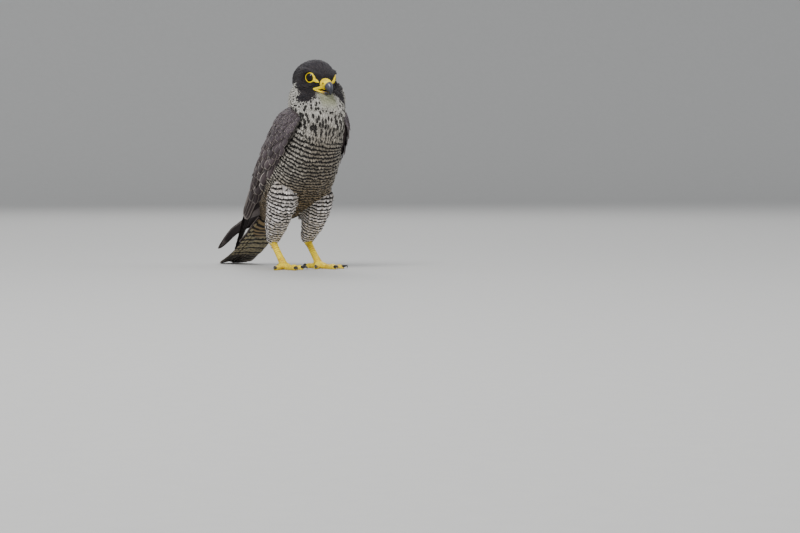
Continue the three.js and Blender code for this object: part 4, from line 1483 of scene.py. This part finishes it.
def tail_line(shares):
    """Ahead, up and pitch of the tail's middle line at shares of its length."""
    fine = np.linspace(0, 1, 400)
    pitch = np.radians(mix(TAIL_PITCH[0], TAIL_PITCH[1], fine))
    step = (TAIL_LENGTH + 14) / (len(fine) - 1)
    ahead = TAIL_ROOT[0] - np.concatenate([[0], np.cumsum(np.cos(pitch[:-1]) * step)])
    up = TAIL_ROOT[1] - np.concatenate([[0], np.cumsum(np.sin(pitch[:-1]) * step)])
    return tuple(np.interp(shares, fine, values) for values in (ahead, up, pitch))


def tail_vane(shape, root, tip, reach, height, wide, tint, marks, chance, length, point=0.88, rows=20):
    """Vane lying on the tail from one share of its length to another, reach aside of its middle."""
    v = np.linspace(0, 1, rows)
    ahead, up, pitch = tail_line(mix(root, tip, v))
    left = mix(reach[0], reach[1], v)
    normal = stack(0, -np.sin(pitch), np.cos(pitch))
    slope = TAIL_DROOP * np.sign(left) * smooth(abs(left), 0, 8)
    side = unit(np.array([1.0, 0, 0]) - normal * slope[:, None])
    out = unit(normal - (normal * side).sum(-1, keepdims=True) * side)
    places = at(left, ahead, up) + normal * (mix(height[0], height[1], v) - slope * left * 0.5)[:, None]
    widths = wide * mix(0.72, 1, smooth(v, 0, 0.4)) * round_tip(v, point, 2.6)
    bake = (0.5 + 0.4 * reach[0] / 20, 0.1 + 0.8 * root, 0)
    shaft = -0.3 * np.sign(reach[1] or 1)
    long_vane(
        shape, places, side, out, widths, length, TAIL_VANE, shaft, chance,
        Tint=tint, Marks=marks, Root=bake,
    )


class FALCON_OT_tail(bpy.types.Operator):
    """Tail feathers and the coverts above and below them"""

    bl_idname = "falcon.tail"
    bl_label = "Tail"

    def execute(self, context):
        coat = context.scene.falcon_coat
        rng = np.random.default_rng(coat.seed + 20)
        mantle = np.array(coat.mantle)
        shape = Shape()
        self.flesh(shape, coat)
        for pair, both in enumerate(TAIL_LAYERS):
            for left, layer in zip((1, -1), both):
                reach = (left * (1 + 1.6 * pair), left * (1.6 + 3 * pair))
                high = (3 - layer) * LAYER + 0.2
                tail_vane(
                    shape, 0.16, 1 - 0.006 * pair**2, reach, (high * 0.9, high), 8.6,
                    TAIL_BROWN * rng.uniform(0.9, 1.1), (0.8, 0, 0.5), rng.random(), 56.0,
                )
        for row in range(3):
            for k in range(-3, 4):
                root = 0.06 + 0.09 * row
                high = 5.0 - 0.6 * abs(k) + (k % 2) * 0.5
                tail_vane(
                    shape, root, root + 0.24, (4.6 * k, 5.6 * k), (high - 1.4, high), 5.4,
                    mantle, (0, 0, 0.8), rng.random(), 30.0, 0.7, 12,
                )
                low = -5.6 + 0.35 * abs(k) - (k % 2) * 0.5
                tail_vane(
                    shape, root, root + 0.38, (4.4 * k, 5.8 * k), (low, low - 0.9), 5.8,
                    UNDER_TAIL, (0.84, 0, 0), rng.random(), 26.0, 0.7, 14,
                )
        piece = shape.build("tail_feathers", made["plumage"])
        set_bake_map(piece.data)
        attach(piece, "root")
        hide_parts("tail")
        return {"FINISHED"}

    def flesh(self, shape, coat):
        """Root of the tail inside its coverts."""
        rows = station(TAIL_CORE, np.linspace(0, 1, 12))
        middles = at(*rows[:, :3].T)
        side = np.broadcast_to([1.0, 0, 0], middles.shape)
        rear = unit(np.cross(side, unit(np.gradient(middles, axis=0))))
        a = turns(32)
        depth = np.where(np.sin(a) > 0, rows[:, 4, None], rows[:, 5, None]) - 0.6
        core = (
            middles[:, None]
            + side[:, None] * ((rows[:, 3, None] - 0.6) * np.cos(a))[..., None]
            + rear[:, None] * (depth * np.sin(a))[..., None]
        )
        top = smooth((core - middles[:, None])[..., 2], -1, 3)[..., None]
        tint = mix(np.array(coat.vent), np.array(coat.mantle), top)
        lay, _ = made["lines"]["body"].lay(core.reshape(-1, 3))
        lay = lay.reshape(core.shape) * [1, 0.45, 1]
        shape.add_rings(core, Tint=tint, Marks=(1 - top) * [1, 0, 0], Lay=lay, **HIDDEN)


# Bill, eyes and legs
def pressed_strip(shape, side, table, thick):
    """Soft strip of bare skin along [ahead, out, up, half width], laid on the skin of the face."""
    rows, middles = on_face(table, side, 28)
    outward = np.zeros_like(middles)
    for k, middle in enumerate(middles):
        near, normal, _, _ = made["tree"].find_nearest(Vector(middle))
        outward[k] = normal
        middles[k] = np.array(near) + 0.75 * thick * np.array(normal)
    way = unit(np.gradient(middles, axis=0))
    outward = unit(outward - (outward * way).sum(-1, keepdims=True) * way)
    radii = stack(rows[:, 3], thick * np.sqrt(rows[:, 3] / rows[:, 3].max()))
    shape.add_rings(ring_of(middles, np.cross(way, outward), outward, radii, 20), Tone=(0, 0, 0))


NOSTRIL = (28.5, 7, -1.8)  # ahead, out, up from the middle of the head
CERE_END = 33.2  # where the cere stops, at the height of the head's middle
SEAM_LEAN = 0.62
BILL_TOOTH, BILL_NOTCH = 33.2, 35.6  # how far ahead they are


def from_nostril(row, side):
    return np.linalg.norm(row - [NOSTRIL[0], side * NOSTRIL[1], NOSTRIL[2]], axis=1)


class FALCON_OT_bill(bpy.types.Operator):
    """Cere with its nostrils, hooked bill, lower bill and the yellow gape"""

    bl_idname = "falcon.bill"
    bl_label = "Bill"

    def execute(self, context):
        bare = context.scene.falcon_bare
        made["bare_skin"] = bare_skin_material(bare)
        horn = horn_material(bare)
        self.horn(horn)
        self.cere()
        self.lower(horn)
        self.gape()
        return {"FINISHED"}

    def horn(self, material):
        """Hooked horn, with the tooth of the cutting edge and the notch in front of it."""
        t = np.linspace(0.42, 1, 64)
        ahead, left, up, a = bill_rings(BILL, t, 48, -0.1)
        edge = np.exp(-(((a - 1.5 * math.pi) / 0.75) ** 2))
        low = smooth(-np.sin(a), 0.35, 0.7) * smooth(abs(np.cos(a)), 0.12, 0.4)
        tooth = 1.3 * np.exp(-(((ahead - BILL_TOOTH) / 1.3) ** 2))
        notch = 0.8 * np.exp(-((ahead - BILL_NOTCH) ** 2))
        tone = stack(smooth(t, 0.42, 0.95)[:, None] + 0.25 * smooth(np.sin(a), 0.5, 1), 0, 0)
        rings = on_head(ahead, left * (1 - 0.10 * edge), up - (tooth - notch) * low)
        piece = solid("bill_horn", material, rings, Tone=tone)
        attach(piece, "root")
        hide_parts("beak_upper")

    def cere(self):
        """Cere, whose front edge bulges forward on top and runs back to the mouth."""
        around, count = 64, 26
        fine = np.linspace(0, 0.8, 200)
        ahead, _, up, _ = bill_rings(BILL, fine, around, 0.35)
        seam = CERE_END + SEAM_LEAN * up
        ends = [np.interp(0, (ahead - seam)[:, k], fine) for k in range(around)]
        rings, nostril_shades = [], []
        for v in np.linspace(0, 1, count):
            each = [bill_rings(BILL, np.array([end * v]), around) for end in ends]
            row = np.array([[e[0][0, k], e[1][0, k], e[2][0, k]] for k, e in enumerate(each)])
            out = unit(row - row.mean(0))
            for side in SIDES:
                gap = from_nostril(row, side)
                rim = 0.5 * np.exp(-(((gap - 2.3) / 0.8) ** 2))
                hole = 1.9 * (1 - smooth(gap, 0.7, 1.7))
                row = row + out * (rim - hole)[:, None]
            swell = 0.45 * (1 - smooth(v, 0.82, 1.0)) - 0.45 * smooth(v, 0.93, 1.0)
            row = row + out * swell
            rings.append(on_head(*row.T))
            # painted shade: Tone marks the nostril holes, which the skin material paints near black
            near = np.minimum(*(from_nostril(row, side) for side in SIDES))
            nostril_shades.append(stack(1 - smooth(near, 1.2, 2.0), 0, 0))
        piece = solid("cere_skin", made["bare_skin"], rings, Tone=nostril_shades)
        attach(piece, "root")
        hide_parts("cere")

    def lower(self, material):
        """Lower bill, a trough with a yellow root."""
        t = np.linspace(0, 1, 40)
        ahead, left, up, a = bill_rings(LOWER_BILL, t, 40)
        trough = 0.8 * smooth(np.sin(a), 0.6, 1.0)
        tone = stack(0.7 * smooth(t, 0.55, 1.0), 0.85 * (1 - smooth(t, 0.55, 0.85)), 0)[:, None]
        piece = solid("bill_lower", material, on_head(ahead, left, up - trough), Tone=tone)
        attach(piece, "root")
        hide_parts("beak_lower")

    def gape(self):
        """Fleshy yellow lips from the cere back below the eye, with the mouth line between them."""
        shape = Shape()
        for side in SIDES:
            pressed_strip(shape, side, UPPER_LIP, 0.8)
            pressed_strip(shape, side, LOWER_LIP, 0.7)
        piece = shape.build("gape", made["bare_skin"])
        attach(piece, "root")


class FALCON_OT_eyes(bpy.types.Operator):
    """Eyes with their yellow rings and the bare patch in front of them"""

    bl_idname = "falcon.eyes"
    bl_label = "Eyes"

    def execute(self, context):
        material = eye_material(context.scene.falcon_bare)
        for side, name in SIDES.items():
            middle, way = eye_axis(side)
            place = middle - EYE_SINK * way
            front = unit(head_way(1, 0, -0.1) - way * float(head_way(1, 0, -0.1) @ way))
            upward = np.cross(way, front) * side
            upward = upward if upward[2] > 0 else -upward
            self.ball(name, material, place, way, front, upward)
            self.ring(side, name, place, way, front, upward)
        return {"FINISHED"}

    def ball(self, name, material, place, way, front, upward):
        """Eyeball, its cornea a little proud of it."""
        angles = np.linspace(0.03, math.pi - 0.03, 40)[:, None, None]
        around = turns(48)[:, None]
        cornea = 0.035 * (1 - smooth(angles, 0.35, 0.8))
        radius = EYE_RADIUS * (0.985 + cornea - 0.2 * smooth(angles, 0.85, 1.1))
        rings = (
            place
            + radius * np.cos(angles) * way
            + radius * np.sin(angles) * (np.cos(around) * front + np.sin(around) * upward)
        )
        seen = 0.72  # angle from the axis to the edge of what is seen
        piece = solid(f"eyeball_{name}", material, rings, Tone=stack(angles[..., 0] / seen, 0, 0))
        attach(piece, "root")
        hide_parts(f"eye_{name}")

    def ring(self, side, name, place, way, front, upward):
        """Ring of bare skin round the eye, a little taller than wide, and the patch before it."""
        a = turns(72)
        ways = np.cos(a)[:, None] * front + np.sin(a)[:, None] * upward
        opening = 5.5 - 0.2 * np.cos(2 * a) + 0.4 * np.maximum(np.cos(a + 0.3), 0) ** 6
        wide = RING_WIDTH * (0.78 + 0.32 * np.cos(a + 0.7))
        profile = [(0, 0.1), (0.08, 0.5), (0.35, 0.9), (0.7, 0.85), (1.0, 0.1), (1.0, -2.4), (0.1, -1.5)]
        sections = []
        for share, lift in profile:
            r = opening + wide * share
            height = np.sqrt(np.maximum((EYE_RADIUS * 1.012) ** 2 - r**2, 0.2))
            sections.append(place + ways * r[:, None] + way * (height + lift)[:, None])
        shape = Shape()
        shape.add(*hoop(np.stack(sections, 1)), Tone=(0, 0, 0))
        pressed_strip(shape, side, LORE_PATCH, 0.9)
        piece = shape.build(f"eye_ring_{name}", made["bare_skin"])
        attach(piece, "root")


# Turn of each toe, its length, thickness at the root and length of its talon
TOES = [
    (-168, 0.5 * MIDDLE_TOE, 4, 17),
    (-30, 0.68 * MIDDLE_TOE, 4, 16),
    (4, MIDDLE_TOE, 3.9, 15),
    (40, 0.8 * MIDDLE_TOE, 3.7, 13),
]
# Share of a toe's length, and thickness there as a share of that at its root
TOE_PADS = ((0.32, 0.98), (0.44, 0.84), (0.58, 0.98), (0.7, 0.78), (0.84, 0.92), (0.95, 0.7))
FLOOR_CUT = 0.9  # how much of a toe's roundness is pressed flat by the floor
FOOT_VOXEL, FOOT_ROUNDS = 0.55, 3  # grain of a foot and how often it is smoothed


def scute_bulge(along):
    """Scutes that stand a little proud, as a share of their full height."""
    return np.maximum(np.sin(along * 2 * math.pi / SCUTE), -0.4)


class FALCON_OT_legs(bpy.types.Operator):
    """Scaled legs and toes with their talons"""

    bl_idname = "falcon.legs"
    bl_label = "Legs"

    def execute(self, context):
        bare = context.scene.falcon_bare
        scales, talons = scale_material(bare), talon_material(bare)
        for side, name in SIDES.items():
            self.foot(side, name, scales)
            self.tarsus(side, name, scales)
            for number, toe in enumerate(TOES, 1):
                self.talon(side, f"{name}_{number}", toe, talons)
        return {"FINISHED"}

    def toe_line(self, side, turn, rows):
        """Stations [distance, up, radius] along a toe as [left, ahead, up, radius]."""
        way = math.radians(turn) * side
        left, ahead, _ = on_leg(side, BALL_OF_FOOT)
        return [[left + d * math.sin(way), ahead + d * math.cos(way), up, r] for d, up, r in rows]

    def toe_table(self, side, toe):
        turn, length, thick, _ = toe
        rows = [(0, BALL_OF_FOOT[2] - 1, thick), (0.16 * length, thick - FLOOR_CUT + 2.4, thick)]
        rows += [(share * length, thick * size - FLOOR_CUT, thick * size) for share, size in TOE_PADS]
        rows.append((length - 0.6, 2.6, 1.6))
        return self.toe_line(side, turn, rows)

    def foot(self, side, name, material):
        tables = [self.toe_table(side, toe) for toe in TOES]
        shape = Shape()
        for table in tables:
            shape.add_rings(tube_rings(table, 60, 24))
        left, ahead, up = on_leg(side, BALL_OF_FOOT)
        shape.add_ball(at(left, ahead, up - 1.2), 5.8, 16, 24)
        mesh = melted(shape.build(f"foot_{name}_rough", material), FOOT_VOXEL, FOOT_ROUNDS)
        points = places_of(mesh)
        points[:, 2] = np.maximum(points[:, 2], 0)
        lay = self.lay_on_toes(points, tables)
        bulge = 0.16 * scute_bulge(lay[:, 0]) * lay[:, 2]
        points[:, 2] = np.where(points[:, 2] > 1.2, points[:, 2] + bulge, points[:, 2])
        move_points(mesh, points)
        set_layer(mesh, "Lay", lay)
        mesh.materials.clear()
        mesh.materials.append(material)
        mesh.shade_smooth()
        foot = link(f"foot_scaled_{name}", mesh)
        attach(foot, "root")
        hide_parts(f"foot_{name}")

    def lay_on_toes(self, points, tables):
        """Distance along the nearest toe, and 1 on top of it, for each point of a foot."""
        lay = np.zeros_like(points)
        best = np.full(len(points), np.inf)
        for table in tables:
            rows = station(table, np.linspace(0, 1, 80))
            line = at(*rows[:, :3].T)
            gaps = ((points[:, None] - line) ** 2).sum(-1)
            i = gaps.argmin(1)
            gap = gaps.min(1)
            step = np.linalg.norm(np.diff(line, axis=0), axis=1)
            along = np.concatenate([[0], np.cumsum(step)])[i]
            high = smooth((points[:, 2] - line[i, 2]) / np.maximum(np.sqrt(gap), 0.1), 0.1, 0.55)
            closer = gap < best
            lay[closer] = stack(along, 0, high)[closer]
            best = np.minimum(best, gap)
        return lay

    def tarsus(self, side, name, material):
        heel, sole = np.array(on_leg(side, HEEL)), np.array(on_leg(side, BALL_OF_FOOT))
        shares = [(-0.12, 5.4), (0.1, 5.3), (0.3, TARSUS_RADIUS), (0.7, TARSUS_RADIUS), (0.95, 5)]
        count, around, length = 90, 32, 46
        rings = tube_rings([[*mix(heel, sole, share), radius] for share, radius in shares], count, around)
        along = np.linspace(0, length, count)[:, None]
        a = turns(around)
        front = smooth(np.sin(a), 0.0, 0.6)
        middles = rings.mean(1, keepdims=True)
        bulge = 0.035 * scute_bulge(along) * front
        rings = middles + (rings - middles) * (1 + bulge)[..., None]
        piece = solid(f"tarsus_scaled_{name}", material, rings, Lay=stack(along, a, front))
        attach(piece, "root")
        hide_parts(f"tarsus_{name}")

    def talon(self, side, name, toe, material):
        """Talon that arches forward and down, its tip just off the floor."""
        turn, length, thick, talon = toe
        curve = 1.9
        rows = []
        for t in np.linspace(0, 1, 12):
            up = 3.2 + 1.6 * math.sin(math.pi * t) - 2.4 * t * t
            ahead = length - 1.5 + talon * math.sin(curve * t) / curve
            rows.append((ahead, max(up, 0.45 + 0.4 * (1 - t)), mix(0.64 * thick, 0.28, t**0.85)))
        rings = tube_rings(self.toe_line(side, turn, rows), 40, 20)
        rings[..., 2] = np.maximum(rings[..., 2], 0.05)
        piece = solid(f"claw_{name}", material, rings, Tone=stack(np.linspace(0, 1, 40), 0, 0)[:, None])
        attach(piece, "root")
        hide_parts(f"talon_{name}")


# Stage, in metres and watts: place of each lamp from the tables' zero, its size and its power
LAMPS = (
    ("Key", (-2.2, -2.2, 3.4), 2.2, 190),
    ("Fill", (3.0, -3.2, 1.8), 3.0, 38),
    ("Rim", (1.2, 3.0, 2.8), 2.0, 60),
)
LAMPS_AIM = 0.12
SKY_COLOUR, SKY_STRENGTH = (0.92, 0.95, 1.0, 1), 0.8
CAMERA_HEIGHT = 0.15
AIM_RIGHTWARD, AIM_HEIGHT = 0.145, 0.002  # the bird stands left of the middle of the view
FILM_WIDTH = 36


class FALCON_OT_stage(bpy.types.Operator):
    """Pale floor, soft light and the camera"""

    bl_idname = "falcon.stage"
    bl_label = "Stage"

    def execute(self, context):
        stage = context.scene.falcon_stage
        origin = Vector(SHIFT * MM)
        self.floor(stage)
        towards = Vector((math.sin(-stage.heading), -math.cos(stage.heading), 0))
        rightward = Vector((0, 0, 1)).cross(towards)
        eye = origin + towards * stage.distance + Vector((0, 0, CAMERA_HEIGHT))
        target = origin + rightward * AIM_RIGHTWARD + Vector((0, 0, AIM_HEIGHT))
        camera = bpy.data.cameras.new("Camera")
        camera.sensor_width = FILM_WIDTH
        camera.lens = FILM_WIDTH * stage.distance / stage.frame_width
        camera.clip_start, camera.clip_end = 0.05, 60
        shown = link("Camera", camera)
        shown.location = eye
        shown.rotation_euler = (target - eye).to_track_quat("-Z", "Y").to_euler()
        context.scene.camera = shown
        self.lights(context, origin)
        return {"FINISHED"}

    def floor(self, stage):
        """Level floor that curves up into a backdrop far behind."""
        profile = [(-5, 0), (5, 0)]
        profile += [(5 + 2 * math.sin(a), 2 - 2 * math.cos(a)) for a in np.linspace(0.1, math.pi / 2, 12)]
        profile.append((7, 8))
        mesh = bpy.data.meshes.new("floor")
        points = [(x, y, z) for x in (-9, 9) for y, z in profile]
        n = len(profile)
        mesh.from_pydata(points, [], [(k, n + k, n + k + 1, k + 1) for k in range(n - 1)])
        mesh.materials.append(floor_material(stage))
        mesh.shade_smooth()
        link("floor", mesh)

    def lights(self, context, origin):
        """Three soft lamps and a pale sky."""
        for name, place, size, power in LAMPS:
            light = bpy.data.lights.new(name, "AREA")
            light.shape, light.size, light.energy = "DISK", size, power
            lamp = link(name, light)
            lamp.location = origin + Vector(place)
            aim = origin + Vector((0, 0, LAMPS_AIM)) - lamp.location
            lamp.rotation_euler = aim.to_track_quat("-Z", "Y").to_euler()
        world = context.scene.world or bpy.data.worlds.new("World")
        context.scene.world = world
        world.use_nodes = True
        background = world.node_tree.nodes["Background"]
        background.inputs["Color"].default_value = SKY_COLOUR
        background.inputs["Strength"].default_value = SKY_STRENGTH


STEPS = [
    FALCON_OT_skin,
    FALCON_OT_coat,
    FALCON_OT_wings,
    FALCON_OT_tail,
    FALCON_OT_bill,
    FALCON_OT_eyes,
    FALCON_OT_legs,
    FALCON_OT_stage,
]


class FALCON_PT_panel(bpy.types.Panel):
    """Sizes, colours and steps of the falcon"""

    bl_idname = "FALCON_PT_panel"
    bl_label = "Peregrine falcon"
    bl_space_type = "VIEW_3D"
    bl_region_type = "UI"
    bl_category = "Falcon"

    def draw(self, context):
        scene = context.scene
        for group in (scene.falcon_coat, scene.falcon_bare, scene.falcon_stage):
            box = self.layout.box()
            for name in group.__annotations__:
                box.prop(group, name)
        for step in STEPS:
            self.layout.operator(step.bl_idname)


CLASSES = [FalconCoat, FalconBareParts, FalconStage, *STEPS, FALCON_PT_panel]


def register():
    for each in CLASSES:
        bpy.utils.register_class(each)
    bpy.types.Scene.falcon_coat = PointerProperty(type=FalconCoat)
    bpy.types.Scene.falcon_bare = PointerProperty(type=FalconBareParts)
    bpy.types.Scene.falcon_stage = PointerProperty(type=FalconStage)


def unregister():
    del bpy.types.Scene.falcon_stage
    del bpy.types.Scene.falcon_bare
    del bpy.types.Scene.falcon_coat
    for each in reversed(CLASSES):
        bpy.utils.unregister_class(each)


def main():
    register()
    for step in STEPS:
        group, name = step.bl_idname.split(".")
        getattr(getattr(bpy.ops, group), name)()
    remove_templates()


if __name__ == "__main__":
    main()
